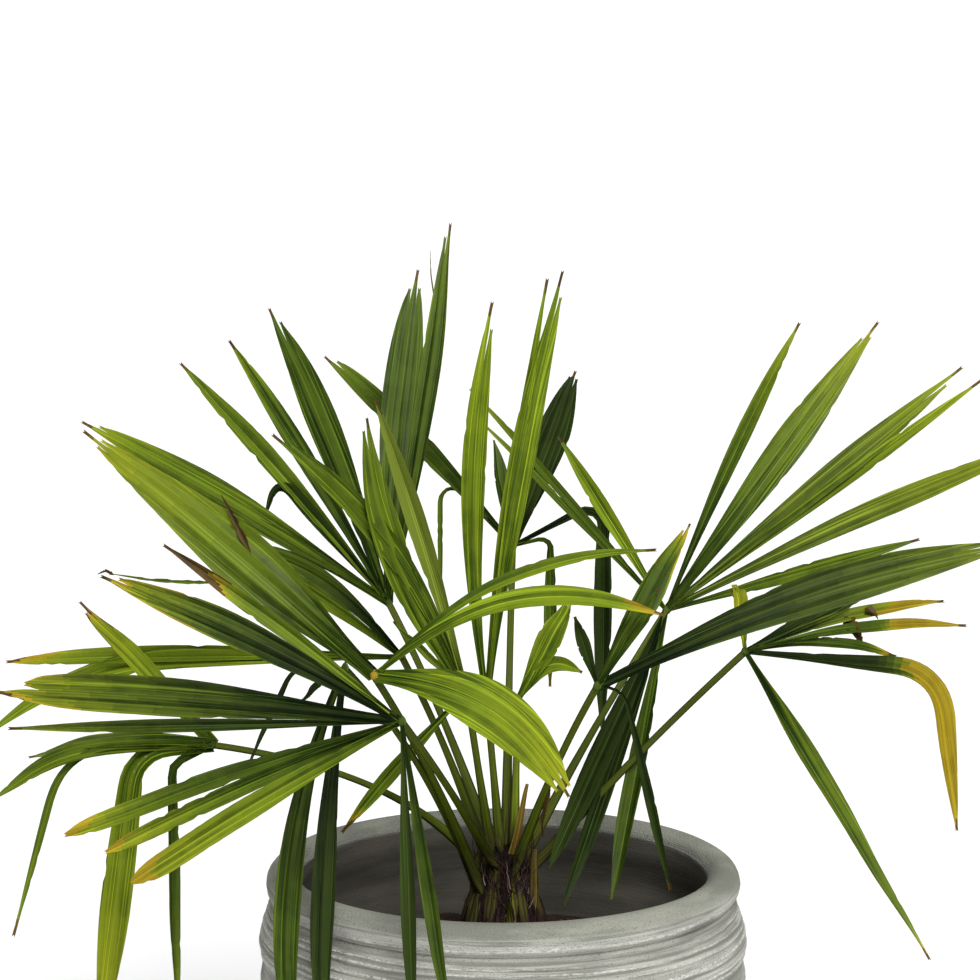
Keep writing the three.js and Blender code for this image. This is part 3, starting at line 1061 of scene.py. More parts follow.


# Each leaflet's tone is partly its own green and partly painted shade: leaflets that lie in shade within the
# crown take the deep and dark tones.
LEAVES = (
    Leaf(
        "front_left_pale", hub=(-121, -165, 651), face=(-95, 20), foot=(-19, -17, 398), arch=0.2,
        hub_tone=AGED,
        leaflets=(
            Leaflet(
                -49, 375, 56, DARK, folds=3, fall=5, turn=0.0, yellow=0.96, brown=0.98, edge=0.9,
                pleat=0.35, widest=0.45, taper=1.35, split=0.93,
            ),
            Leaflet(45, 305, 12, FRESH, fall=40),
            Leaflet(50, 300, 20, FRESH, fall=55, yellow=0.9),
            Leaflet(
                99, 225, 52, FRESH, folds=3, fall=45, sweep=10, turn=0.25, yellow=0.97, pleat=0.8,
                widest=0.52, taper=1.9,
            ),
        ),
        shreds=(
            Shred(((-238, -118, 758), (-251, -110, 783), (-259, -106, 798), (-267, -104, 813)), 5, BROWNED),
        ),
    ),
    Leaf(
        "front_left_low", hub=(-92, -262, 628), face=(-100, 15), foot=(-6, -15, 425), arch=0.1,
        leaflets=(
            Leaflet(-54, 280, 16, GREEN, fall=5, turn=0.62, yellow=0.75, brown=0.79),
            Leaflet(-62, 320, 30, DEEP, folds=2, fall=10, turn=0.42, yellow=0.92, brown=0.98, edge=0.74),
            Leaflet(-85, 385, 36, DEEP, folds=2, fall=5, turn=0.2, yellow=0.94, edge=0.84, taper=3.6),
            Leaflet(-93, 370, 13, DEEP, turn=0.5),
            Leaflet(-108, 330, 18, DARK, fall=5, turn=0.6, yellow=0.95, brown=1.0, taper=8.0),
            Leaflet(-113, 300, 16, DARK, fall=5, turn=0.4, yellow=0.94, brown=1.0, taper=6.0),
            Leaflet(-120, 290, 22, GREEN, fall=5, turn=0.1, yellow=0.92, brown=1.0, taper=8.0),
            Leaflet(175, 280, 14, DEEP),
            Leaflet(168, 280, 14, DARK),
        ),
        shreds=(
            Shred(
                ((-263, -197, 744), (-297, -193, 744), (-327, -186, 745), (-361, -177, 749)), 3.4,
                upper_finish(GREEN),
            ),
            Shred(((-360, -177, 748), (-367, -177, 752), (-375, -177, 749)), 3, BROWNED),
        ),
    ),
    Leaf(
        "far_left", hub=(-282, -60, 562), face=(-80, 40), foot=(-20, -4, 420), arch=0.8,
        root_share=0.6,
        leaflets=(
            Leaflet(-35, 210, 22, FRESH, folds=2, fall=5, turn=0.2, yellow=0.88, brown=0.92, edge=0.7),
            Leaflet(-81, 180, 18, GREEN, fall=20),
            Leaflet(-89, 225, 18, GREEN, fall=35, bend=(0.35, 0.9), brown=0.97),
            Leaflet(-89, 320, 8, GREEN, fall=75, bend=(0.25, 0.6), brown=0.96),
            Leaflet(-93, 355, 30, FRESH, folds=2, fall=80, bend=(0.1, 0.3), turn=0.15, yellow=0.88),
            Leaflet(-116, 315, 13, DARK, fall=90, bend=(0.1, 0.2), turn=0.5),
        ),
    ),
    Leaf(
        "upper_left", hub=(-117, 110, 673), face=(-100, 25), foot=(-10, 10, 437), arch=0.2,
        leaflets=(
            Leaflet(-59, 405, 34, GREEN, folds=2, fall=5, turn=0.7, brown=0.97),
            Leaflet(-42, 365, 22, GREEN, fall=5),
            Leaflet(-33, 355, 20, DARK, fall=5, turn=0.7),
            Leaflet(-23, 375, 34, DARK, folds=2, fall=10),
            Leaflet(
                0, 370, 40, DARK, folds=3, sweep=8, turn=0.9, yellow=1.1, brown=0.98, pleat=0.3, taper=2.2,
                split=0.94,
            ),
            Leaflet(4, 425, 24, DARK, folds=2, sweep=-6, turn=0.7, yellow=1.2),
            Leaflet(-44, 225, 14, DEEP, fall=110, bend=(0.7, 0.9)),
            Leaflet(-59, 215, 14, DARK, fall=5, brown=0.95),
        ),
        shreds=(
            Shred(
                ((-70, 240, 950), (-72, 247, 976), (-76, 262, 1002), (-77, 277, 1028)), 1.6,
                upper_finish(MATTE),
            ),
        ),
    ),
    Leaf(
        "centre_left", hub=(-36, -50, 613), face=(-85, 0), foot=(-11, -9, 437), arch=0.0,
        leaflets=(
            Leaflet(-22, 320, 24, GREEN, folds=2, fall=28),
            Leaflet(-20, 290, 32, GREEN, folds=2, sweep=32),
            Leaflet(-17, 300, 20, MATTE, sweep=-5),
            Leaflet(-45, 100, 9, GREEN),
            Leaflet(-136, 185, 15, GREEN, fall=5, yellow=0.88, brown=0.93),
        ),
    ),
    Leaf(
        "centre", hub=(-16, 0, 592), face=(-90, 0), foot=(-2, -3, 437), arch=0.0,
        leaflets=(
            Leaflet(1, 400, 24, FRESH, folds=2, sweep=20),
            Leaflet(8, 425, 11, FRESH, sweep=5),
            Leaflet(10, 435, 28, FRESH, folds=2, sweep=10),
        ),
    ),
    Leaf(
        "upper_back", hub=(11, 190, 720), face=(-90, 35), foot=(3, 13, 437), arch=0.3,
        leaflets=(
            Leaflet(
                -41, 310, 26, DARK, folds=2, sweep=-8, turn=0.8, yellow=1.1, brown=0.97, edge=0.97,
                taper=3.4,
            ),
            Leaflet(-9, 130, 18, DARK),
            Leaflet(18, 225, 38, DEEP, folds=3),
            Leaflet(74, 195, 14, DARK, fall=140, bend=(0.12, 0.3), brown=0.95),
            Leaflet(60, 350, 20, DEEP, fall=140, bend=(0.2, 0.4), brown=0.96),
            Leaflet(-40, 250, 6, GREEN, fall=150, bend=(0.3, 0.55)),
        ),
    ),
    Leaf(
        "upper_right", hub=(168, 110, 665), face=(-85, 22), foot=(16, 9, 422), arch=0.1,
        leaflets=(
            Leaflet(-39, 310, 10, DARK, turn=0.6),
            Leaflet(-42, 290, 8, DARK, turn=0.6),
            Leaflet(-29, 215, 16, FRESH),
            Leaflet(27, 350, 17, DARK, sweep=6, turn=0.45),
            Leaflet(38, 395, 36, DARK, folds=3, turn=0.25, yellow=0.98, pleat=0.6, taper=1.4, split=0.9),
            Leaflet(52, 420, 26, MATTE, folds=2, turn=0.7),
            Leaflet(55, 430, 15, GREEN, turn=0.5),
            Leaflet(64, 455, 24, MATTE, folds=2, fall=6, turn=0.3),
            Leaflet(75, 280, 16, GREEN),
            Leaflet(-153, 305, 24, DEEP, lean=9, brown=1.0, taper=2.2),
            Leaflet(-158, 330, 18, DEEP, lean=7, brown=1.0, taper=2.4),
            Leaflet(-166, 310, 19, DARK, lean=7, brown=1.0, taper=2.6),
        ),
    ),
    Leaf(
        "right_front", hub=(89, -110, 630), face=(-85, 10), foot=(9, -15, 418), arch=0.2,
        leaflets=(
            Leaflet(30, 180, 30, DARK, folds=2, turn=0.72, yellow=0.92, brown=0.99, edge=0.72),
            Leaflet(33, 110, 14, DARK),
            Leaflet(65, 435, 40, DEEP, folds=3, fall=15, turn=0.2, yellow=1.15, brown=0.975, pleat=0.7),
            Leaflet(-17, 70, 13, DEEP),
            Leaflet(92, 225, 10, DEEP, fall=75, bend=(0.0, 0.2), brown=0.97),
        ),
        shreds=(
            Shred(((46, -59, 518), (41, -55, 499), (38, -51, 483), (39, -48, 467)), 4.5, BROWNED),
        ),
    ),
    Leaf(
        "far_right", hub=(243, 40, 635), face=(-75, 35), foot=(20, -2, 413), arch=0.1,
        stalk=DEEP,
        leaflets=(
            Leaflet(5, 90, 16, LIME, fall=170, bend=(0.7, 1.0), taper=3.0),
            Leaflet(66, 210, 24, DEEP, folds=2, turn=0.45, edge=0.6, brown=0.96),
            Leaflet(71, 245, 14, MATTE, fall=15, turn=0.45, yellow=0.7),
            Leaflet(78, 260, 13, DARK, fall=15, turn=0.58, yellow=0.66),
            Leaflet(81, 175, 12, DARK, fall=25, turn=0.75, yellow=0.9, brown=0.95, taper=3.0),
            Leaflet(99, 360, 24, DEEP, fall=75, bend=(0.4, 0.7), turn=0.42, yellow=0.5, brown=0.985),
            Leaflet(160, 355, 22, GREEN, yellow=0.96, widest=0.35, taper=1.5),
        ),
        shreds=(
            Shred(((350, 94, 662), (355, 90, 654), (362, 90, 645), (367, 90, 635)), 13, BROWNED),
            Shred(((372, 106, 669), (380, 102, 664), (385, 102, 658)), 10, BROWNED),
        ),
    ),
    Leaf(
        "left_middle", hub=(-101, 20, 634), face=(-105, 15), foot=(-16, 4, 430), arch=0.2,
        leaflets=(
            Leaflet(-45, 255, 24, DARK, fall=40, turn=0.8, pleat=0.5),
            Leaflet(-57, 255, 20, FRESH, fall=10, brown=0.95),
            Leaflet(-93, 480, 22, FRESH, fall=35, bend=(0.4, 1.0)),
            Leaflet(-91, 430, 18, GREEN, fall=5, turn=0.7, yellow=0.93, taper=3.6),
        ),
    ),
    Leaf(
        "left_hanging", hub=(-146, -200, 665), face=(-115, 0), foot=(-24, -9, 404), arch=0.3,
        leaflets=(
            Leaflet(-172, 400, 28, DARK, folds=2, sweep=-35),
            Leaflet(-176, 380, 26, DEEP, folds=2, sweep=-10, turn=0.8),
            Leaflet(-93, 160, 6, DEEP, fall=60, bend=(0.2, 0.45)),
            Leaflet(-118, 60, 7, DEEP, fall=20),
        ),
    ),
    Leaf(
        "young", hub=(15, 50, 584), face=(-90, 10), foot=(11, 2, 437), arch=0.0,
        stalk=FRESH,
        hub_tone=AGED,
        leaflets=(
            Leaflet(28, 115, 26, FRESH, folds=2, edge=0.7),
            Leaflet(37, 85, 16, FRESH, fall=80, bend=(0.3, 0.9)),
        ),
    ),
)


def face_frame(face: tuple[float, float]) -> tuple[Array, Array, Array]:
    """The frame of a leaf's face.

    Args:
        face: The way the face looks, as azimuth and elevation in degrees.

    Returns:
        Its normal, the way up it, and the way to a looker's right.
    """
    azimuth, elevation = (math.radians(angle) for angle in face)
    level = math.cos(elevation)
    normal = np.array([level * math.cos(azimuth), level * math.sin(azimuth), math.sin(elevation)])
    rise = unit(UP - normal * normal[2])
    return normal, rise, np.cross(rise, normal)


# Leaf blades


TWIST_SPREAD = 14.0
RIPPLE_RANGE = (0.5, 2.4)
GRAIN_RANGE = (0.0, 9.0)


@dataclass(frozen=True)
class Growth:
    """How one leaflet happens to have grown."""

    twist: float
    ripple: float
    phase: float
    grain_start: float
    shade: float
    leader: int

    @classmethod
    def drawn(cls, leaflet: Leaflet, rng: np.random.Generator) -> "Growth":
        """One leaflet's growth, drawn by chance.

        Args:
            leaflet: The leaflet.
            rng: The leaf's own chance.

        Returns:
            Its twist in radians, ripple in millimetres, shares, and the number of its longest segment.
        """
        twist = math.radians(rng.normal(0.0, TWIST_SPREAD))
        ripple, phase, start = rng.uniform(*RIPPLE_RANGE), rng.random(), rng.uniform(*GRAIN_RANGE)
        shade = rng.random()
        later = rng.integers(2) if leaflet.folds % 2 == 0 else 0
        return cls(twist, ripple, phase, start, shade, (leaflet.folds - 1) // 2 + later)


@dataclass
class FanBlade:
    """A fan of folded leaflets round one hub."""

    leaf: Leaf
    seed: int
    rows: int = 46
    row_crowding: float = 0.8
    steps: int = 96
    bluntness: float = 0.9
    thickness: float = 0.8
    rib_thickness: float = 1.7
    rib_spread: float = 0.05
    margin_share: float = 0.6
    tip_width: float = 3.0
    tip_notch: float = 0.006
    fold: float = 0.4
    root_fold: float = 0.6
    folded_by: float = 0.45
    falls_short: float = 0.07
    last_split: float = 0.95
    parting: float = 0.55
    ripples: float = 2.3
    lift: float = 0.9
    unevenness: float = 0.045
    raggedness: float = 12.0
    earliest_yellow: float = 0.07
    wear: float = 0.007
    tear: float = 0.09
    tear_chance: float = 0.035
    hub_radius: float = 4.2
    hub_mesh: tuple[int, int] = (9, 14)
    hub_open: float = 0.12
    shred_mesh: tuple[int, int] = (20, 5)
    shred_thickness: float = 0.6
    turning_shares: tuple[float, ...] = (0.1, 0.2, 0.3, 0.41, 0.53, 0.66, 0.8, 1.0)
    columns: tuple[float, ...] = (0.0, 0.12, 0.28, 0.43, 0.475, 0.525, 0.57, 0.72, 0.88, 1.0)
    finishes: list[Finish] = field(default_factory=list)
    sheaf: MeshSheaf = field(default_factory=MeshSheaf)

    def __post_init__(self) -> None:
        """Starts the leaf's own chance from its seed."""
        self.rng = np.random.default_rng(self.seed)

    def slot_of(self, finish: Finish) -> int:
        """The slot that holds a finish, added where it is new.

        Args:
            finish: The finish.

        Returns:
            The slot's number.
        """
        if finish not in self.finishes:
            self.finishes.append(finish)
        return self.finishes.index(finish)

    def way(self, leaflet: Leaflet, shares: Array) -> Array:
        """The way that a leaflet grows, by the rule of its solid.

        Args:
            leaflet: The leaflet.
            shares: Shares of its length.

        Returns:
            The unit way at each share.
        """
        normal, rise, right = face_frame(self.leaf.face)
        angle = np.radians(leaflet.clock + leaflet.sweep * (shares - 0.5))[:, None]
        lean = math.radians(leaflet.lean)
        along = (rise * np.cos(angle) + right * np.sin(angle)) * math.cos(lean) + normal * math.sin(lean)
        most = np.arccos(np.clip(along @ DOWN, -1.0, 1.0))
        first, last = leaflet.bend
        turn = np.minimum(math.radians(leaflet.fall) * smooth((shares - first) / (last - first)), most)
        axis = unit(np.cross(along, DOWN))
        return turned_about(along, axis, turn)

    def rib(self, leaflet: Leaflet, shares: Array) -> tuple[Array, Array]:
        """The places along a leaflet's rib.

        Args:
            leaflet: The leaflet.
            shares: Rising shares of its length.

        Returns:
            The places in millimetres, and the unit ways along the rib.
        """
        middles = (np.arange(self.steps) + 0.5) / self.steps
        run = np.vstack([np.zeros(3), np.cumsum(self.way(leaflet, middles), axis=0)])
        places = sampled(run * leaflet.length / self.steps, shares)
        return places + np.array(self.leaf.hub), self.way(leaflet, shares)

    def width_at(self, shares: Array, leaflet: Leaflet) -> Array:
        """A leaflet's width along it.

        Args:
            shares: Shares of its length.
            leaflet: The leaflet.

        Returns:
            The width at each share, in millimetres.
        """
        root = self.leaf.root_share
        grown = root + (1 - root) * smooth(shares / leaflet.widest)
        spent = np.maximum(shares - leaflet.widest, 0.0) / (1 - leaflet.widest)
        tapered = (1 - np.minimum(spent, 1.0) ** leaflet.taper) ** self.bluntness
        return leaflet.width * np.where(shares < leaflet.widest, grown, tapered)

    def depth_at(self, shares: Array, leaflet: Leaflet) -> Array:
        """How deep a segment's fold is along it, as a share of its width."""
        opened = lerp(self.root_fold, self.fold * leaflet.pleat, smooth(shares / self.folded_by))
        return opened * (1 - 0.45 * smooth((shares - 0.75) / 0.25))

    def thickness_at(self, shares: Array, columns: Array) -> Array:
        """How thick a segment is: most at its rib, least at its margins and tip.

        Args:
            shares: Shares of its length.
            columns: Shares of its width.

        Returns:
            The thickness by row and column, in millimetres.
        """
        near_rib = np.exp(-(((columns - 0.5) / self.rib_spread) ** 2))
        thick = lerp(self.thickness, self.rib_thickness, near_rib)
        thick[[0, -1]] *= self.margin_share
        return (1 - 0.5 * smooth((shares - 0.6) / 0.4))[:, None] * thick

    def segment(self, leaflet: Leaflet, growth: Growth, fold: int) -> None:
        """Adds one folded segment of a leaflet, closed all round.

        Args:
            leaflet: The leaflet that it is part of.
            growth: How the leaflet happens to have grown.
            fold: The segment's number across the leaflet.
        """
        offset = (fold + 0.5) / leaflet.folds - 0.5
        reach = 1.0 - self.falls_short * abs(fold - growth.leader) * self.rng.uniform(0.5, 1.0)
        split = min(lerp(leaflet.split, self.last_split, self.rng.random()), reach - 0.05)
        rows = np.linspace(0.0, 1.0, self.rows) ** self.row_crowding
        shares = reach * rows
        columns = np.array(self.columns)
        vee = np.abs(2 * columns - 1)
        places, along = self.rib(leaflet, shares)
        across, face = ribbon_frame(along, face_frame(self.leaf.face)[0], growth.twist * smooth(shares))
        whole = self.width_at(shares, leaflet)
        held = self.width_at(np.minimum(shares, split), leaflet)
        apart = smooth((shares - split) / (1 - split))
        wide = whole
        if leaflet.folds > 1:
            spent = np.clip((shares - split) / (reach - split), 0.0, 1.0)
            wide = held / leaflet.folds * (1 - spent**1.5) ** self.bluntness
        wide = np.maximum(wide, self.tip_width)
        out = (offset * lerp(whole, held, self.parting * apart))[:, None] + (columns - 0.5) * wide[:, None]
        if fold == 0:
            out[:, 0] += self.nicks() * wide
        if fold == leaflet.folds - 1:
            out[:, -1] -= self.nicks() * wide
        ripple = growth.ripple * np.sin(TAU * (self.ripples * shares + growth.phase)) * shares
        lifted = ripple + self.lift * offset * apart * self.rng.normal() + 0.5 * self.thickness
        high = (vee**0.85 - 0.5) * (wide * self.depth_at(shares, leaflet))[:, None] + lifted[:, None]
        notch = self.tip_notch * leaflet.length * smooth((rows - 0.9) / 0.1)[:, None] * (1 - vee)
        base = places[:, None] - along[:, None] * notch[..., None]
        upper = laid(base, across, face, out, high)
        lower = upper - face[:, None] * self.thickness_at(shares, columns)[..., None]
        slots = self.tints(leaflet, fold, shares)
        metres = shares[:, None] * leaflet.length * MM
        grain = (out * MM + growth.grain_start, metres + 3.1 * growth.grain_start)
        self.sheaf.add_ribbon(upper, lower, slots, grain, growth.shade, shares)

    def nicks(self) -> Array:
        """How far an outer edge happens to be worn in.

        Returns:
            The wear at each row, as a share of the width.
        """
        worn = np.abs(self.rng.normal(0.0, self.wear, self.rows))
        worn += self.tear * (self.rng.random(self.rows) > 1 - self.tear_chance)
        worn[:3] = 0.0
        return worn

    def tints(self, leaflet: Leaflet, fold: int, shares: Array) -> Array:
        """The slot of each face of a segment.

        Args:
            leaflet: The leaflet that it is part of.
            fold: Its number across the leaflet.
            shares: Its rows' shares of the length.

        Returns:
            Slot numbers, in the order of ribbon_faces.
        """
        strips = len(self.columns) - 1
        sooner = np.cumsum(self.rng.normal(0.0, 0.35, strips))
        sooner = (sooner - sooner.mean()) * self.unevenness
        for outermost, column in ((0, 0), (leaflet.folds - 1, -1)):
            if fold == outermost:
                sooner[column] += 0.02 + leaflet.yellow - min(leaflet.edge, leaflet.yellow)
        sides = (upper_finish, under_finish)
        upper, lower = (self.tint(leaflet, side, shares[1:, None], sooner) for side in sides)
        ends = [np.full(strips, upper[0, 0]), np.full(strips, upper[-1, -1])]
        return np.concatenate([upper.ravel(), lower.ravel(), upper[:, 0], upper[:, -1], *ends])

    def tint(
        self, leaflet: Leaflet, side: Callable[[Tone], GrowthFinish], shares: Array, sooner: Array
    ) -> Array:
        """The slot of each face on one side of a segment, which turns, yellows and dries towards its tip.

        Args:
            leaflet: The leaflet that the segment is part of.
            side: What gives the side's finish for a tone.
            shares: The rows' shares of the length, as a column.
            sooner: How much nearer the hub each column of faces turns, as a share of the length.

        Returns:
            Slot numbers by row and column.
        """
        fresh = [side(leaflet.tone) for _ in sooner]
        fresh[len(fresh) // 2] = rib_finish(leaflet.tone)
        tint = np.tile([self.slot_of(finish) for finish in fresh], (len(shares), 1))
        ages = leaflet.yellow < 1 or leaflet.edge < 1
        turn = min(leaflet.turn, leaflet.yellow - self.earliest_yellow) if ages else leaflet.turn
        starts = np.linspace(turn, leaflet.yellow, len(self.turning_shares))
        for start, share in zip(starts, self.turning_shares):
            aged = shares + sooner * (start < 1) > start
            if aged.any():
                slots = [self.slot_of(turning(finish, share)) for finish in fresh]
                tint = np.where(aged, slots, tint)
        dry = shares + sooner * self.raggedness * (1 - leaflet.brown) > leaflet.brown
        tint[dry] = self.slot_of(BROWNED)
        return tint

    def shred(self, shred: Shred) -> None:
        """Adds a torn strip that curls along its route.

        Args:
            shred: The strip.
        """
        rows, columns = self.shred_mesh
        share = np.linspace(0, 1, rows)
        places = sampled(np.array(shred.route, float), share)
        along = unit(np.gradient(places, axis=0))
        twist = self.rng.normal(0, 0.5) * share
        across, face = ribbon_frame(along, face_frame(self.leaf.face)[0], twist)
        wide = shred.width * (1 - 0.85 * share**3) * smooth(0.2 + 4 * share)
        wide = (wide * (1 + 0.2 * self.rng.normal(size=rows)))[:, None]
        side = np.linspace(-0.5, 0.5, columns)
        upper = laid(places[:, None], across, face, wide * side, 0.5 * wide * np.abs(side))
        lower = upper - face[:, None] * self.shred_thickness
        grain = (wide * side * MM, share[:, None] * 0.1)
        self.sheaf.add_ribbon(upper, lower, self.slot_of(shred.finish), grain, self.rng.random())

    def hub(self) -> None:
        """Adds the stalk's end in the fan, a flattened knob with a small pointed flap."""
        normal, rise, right = face_frame(self.leaf.face)
        levels, turns = self.hub_mesh
        around = np.linspace(0, TAU, turns, endpoint=False)
        up = (math.pi / 2 - self.hub_open) * np.linspace(-1, 1, levels)[:, None]
        flap = 1 + 0.5 * np.maximum(np.cos(around), 0) ** 6
        x = np.cos(up) * np.sin(around) * self.hub_radius
        y = np.cos(up) * np.cos(around) * self.hub_radius * flap
        z = np.sin(up) * np.ones(turns) * self.hub_radius * 0.5
        places = right * x[..., None] + rise * y[..., None] + normal * z[..., None] + np.array(self.leaf.hub)
        number = np.arange(levels * turns).reshape(levels, turns)
        caps = [
            np.array([[ring[0], ring[k + 1], ring[k + 2], ring[k + 3]] for k in range(0, turns - 3, 2)])
            for ring in (number[0], number[-1][::-1])
        ]
        faces = np.concatenate([ring_faces(levels, turns), *caps])
        grain = np.column_stack([x.ravel(), y.ravel()]) * MM
        slot = self.slot_of(upper_finish(self.leaf.hub_tone))
        self.sheaf.add(places.reshape(-1, 3), faces, slot, grain, 0.5)

    def build(self) -> Piece:
        """The whole fan as one joined piece.

        Returns:
            The finished fan.
        """
        for leaflet in self.leaf.leaflets:
            growth = Growth.drawn(leaflet, self.rng)
            for fold in range(leaflet.folds):
                self.segment(leaflet, growth, fold)
        for shred in self.leaf.shreds:
            self.shred(shred)
        self.hub()
        return self.sheaf.make(f"fan_{self.leaf.name}", self.finishes, f"blade_{self.leaf.name}", "leaf")


# Trunk


FIBRE_MAT = GrowthFinish("fibre_mat", 0.1, (0.007, 0.004, 0.004), (0.03, 0.016, 0.014), 0.0012)
STRANDS = (
    GrowthFinish("strand_dark", 0.15, (0.01, 0.006, 0.007), (0.04, 0.022, 0.022)),
    GrowthFinish("strand_red", 0.15, (0.03, 0.013, 0.008), (0.09, 0.04, 0.024)),
    GrowthFinish("strand_pale", 0.15, (0.1, 0.07, 0.055), (0.3, 0.23, 0.18)),
)
SHEATHS = (
    GrowthFinish("sheath_purple", 0.1, (0.003, 0.002, 0.002), (0.03, 0.017, 0.018), 0.0018, 2.2),
    GrowthFinish("sheath_brown", 0.1, (0.004, 0.002, 0.001), (0.045, 0.026, 0.014), 0.0018, 2.2),
    GrowthFinish("sheath_olive", 0.1, (0.005, 0.005, 0.001), (0.075, 0.08, 0.01), 0.0018, 2.0),
)


@dataclass
class Trunk:
    """A short trunk wrapped in the fibres of old leaf sheaths."""

    foot: float = 322.0
    top: float = 440.0
    foot_radius: float = 49.0
    waist_radius: float = 39.0
    top_radius: float = 20.0
    waist_share: float = 0.42
    wave: Point = (1.3, 0.32, 2.5)
    ridges: tuple[tuple[int, float], ...] = ((5, 2.2), (9, 1.6), (23, 0.8), (41, 0.5))
    ridge_middle: float = 380.0
    ridge_lean: float = 0.03
    strands: int = 1000
    strand_mesh: tuple[int, int] = (8, 4)
    strand_starts: tuple[float, float] = (324.0, 428.0)
    strand_lengths: tuple[float, float] = (14.0, 52.0)
    strand_radii: tuple[float, float] = (0.3, 0.75)
    strand_wander: float = 0.03
    strand_slant: float = 0.4
    strand_stand: tuple[float, float] = (0.3, 2.2)
    strand_flare: float = 8.0
    flare_chance: float = 0.3
    strand_shares: Point = (0.72, 0.2, 0.08)
    neck: float = 385.0
    neck_over: float = 45.0
    neck_stand: tuple[float, float] = (2.0, 9.0)
    sheaths: int = 62
    sheath_mesh: tuple[int, int] = (16, 9)
    sheath_starts: tuple[float, float] = (326.0, 352.0)
    sheath_lengths: tuple[float, float] = (40.0, 88.0)
    sheath_half_widths: tuple[float, float] = (2.0, 5.5)
    sheath_shares: Point = (0.4, 0.3, 0.3)
    sheath_thickness: float = 1.4
    sheath_turn: float = 2.4
    sheath_stand: tuple[float, float] = (0.6, 2.6)
    sheath_bulge: float = 1.1
    sheath_flare: float = 4.0
    sheath_unevenness: float = 0.6
    rings: int = 60
    steps: int = 96
    crease: float = 60.0
    seed: int = 11

    def radius_at(self, height: Array) -> Array:
        """The trunk's radius, by the rule of its solid.

        Args:
            height: Heights in millimetres.

        Returns:
            The radius at each, in millimetres.
        """
        share = (height - self.foot) / (self.top - self.foot)
        low = lerp(self.foot_radius, self.waist_radius, np.minimum(share / self.waist_share, 1.0))
        return lerp(low, self.top_radius, smooth((share - 0.35) / 0.6))

    def core(self) -> Piece:
        """The trunk itself, ridged by leaf bases and matted with fibre.

        Returns:
            The finished trunk.
        """
        heights = np.linspace(self.foot, self.top, self.rings)
        side = np.column_stack([self.radius_at(heights), heights])
        profile = np.vstack([[0.0, self.foot], side, [0.0, self.top + 4]])
        piece = spun("trunk_core", profile, self.steps)
        places = places_of(piece)
        angle = np.arctan2(places[:, 1], places[:, 0])
        height = places[:, 2] / MM
        rng = np.random.default_rng(self.seed)
        rise, rate, sway = self.wave
        relief = rise * np.sin(height * rate + sway * np.sin(3 * angle)) - 1.0
        for count, size in self.ridges:
            lean, start = rng.uniform(-self.ridge_lean, self.ridge_lean), rng.uniform(0, TAU)
            leant = angle + lean * (height - self.ridge_middle)
            relief += size * (np.abs(np.sin(0.5 * count * leant + start)) - 0.6)
        radius = np.maximum(np.hypot(places[:, 0], places[:, 1]) / MM, 1.0)
        places[:, :2] *= (1 + np.where(radius > 1, relief / radius, 0))[:, None]
        move_to(piece, places)
        return finish_piece(piece, "trunk", FIBRE_MAT, self.crease)

    def fibres(self) -> Piece:
        """Loose strands that cross on the trunk and stand off it.

        Returns:
            The joined strands.
        """
        rng = np.random.default_rng(self.seed + 1)
        sheaf = MeshSheaf()
        stations, sides = self.strand_mesh
        share = np.linspace(0, 1, stations)
        around = np.arange(sides) / sides * TAU
        number = np.arange(stations * sides).reshape(stations, sides)
        faces = np.concatenate([ring_faces(stations, sides), number[:1], number[-1:, ::-1]])
        grain = np.column_stack([np.tile(around, stations) * 0.001, np.repeat(share, sides) * 0.05])
        for _ in range(self.strands):
            start, length = rng.uniform(*self.strand_starts), rng.uniform(*self.strand_lengths)
            angle = rng.uniform(0, TAU) + np.cumsum(rng.normal(0, self.strand_wander, stations))
            angle += rng.normal(0, self.strand_slant) * share
            height = start + length * share * rng.uniform(0.6, 1.0)
            stand_off = rng.uniform(*self.strand_stand)
            flare = rng.uniform(0, self.strand_flare) * share**3
            stand_off = stand_off + flare * (rng.random() < self.flare_chance)
            radius = self.radius_at(np.minimum(height, self.top)) + stand_off
            radius += rng.choice(self.neck_stand) * smooth((height - self.neck) / self.neck_over)
            places = polar(radius, angle, height)
            along = unit(np.gradient(places, axis=0))
            across, outward = ribbon_frame(along, polar(1.0, angle, 0.0), 0 * share)
            thick = (rng.uniform(*self.strand_radii) * (1 - 0.7 * share))[:, None]
            ring = laid(places[:, None], across, outward, thick * np.cos(around), thick * np.sin(around))
            slot = rng.choice(3, p=self.strand_shares)
            sheaf.add(ring.reshape(-1, 3), faces, slot, grain, rng.random())
        return sheaf.make("trunk_fibres", STRANDS, "trunk", "fibre")

    def wraps(self) -> Piece:
        """Old sheaths that lie over one another round the trunk, ragged at their tops.

        Returns:
            The joined sheaths.
        """
        rng = np.random.default_rng(self.seed + 2)
        sheaf = MeshSheaf()
        rows, columns = self.sheath_mesh
        share = np.linspace(0, 1, rows)[:, None]
        side = np.linspace(-1, 1, columns)[None]
        for count in range(self.sheaths):
            angle = count * self.sheath_turn + rng.normal(0, 0.15)
            low = rng.uniform(*self.sheath_starts)
            length = rng.uniform(*self.sheath_lengths) * (1 - 0.42 * rng.random((1, columns)))
            height = low + length * share
            wide = rng.uniform(*self.sheath_half_widths) * (1 - 0.5 * share**2) * side
            radius = self.radius_at(np.minimum(height, self.top)) + rng.uniform(*self.sheath_stand)
            radius += self.sheath_bulge * (1 - side**2) + rng.uniform(0, self.sheath_flare) * share**4
            radius += self.sheath_unevenness * rng.random((1, columns))
            turn = angle + (wide + 3 * rng.normal() * share) / radius
            outer, inner = polar(radius, turn, height), polar(radius - self.sheath_thickness, turn, height)
            slot = rng.choice(3, p=self.sheath_shares)
            grain = (wide * MM + 0.05 * count, height * MM)
            sheaf.add_ribbon(inner, outer, slot, grain, rng.random())
        return sheaf.make("trunk_sheaths", SHEATHS, "trunk", "fibre")

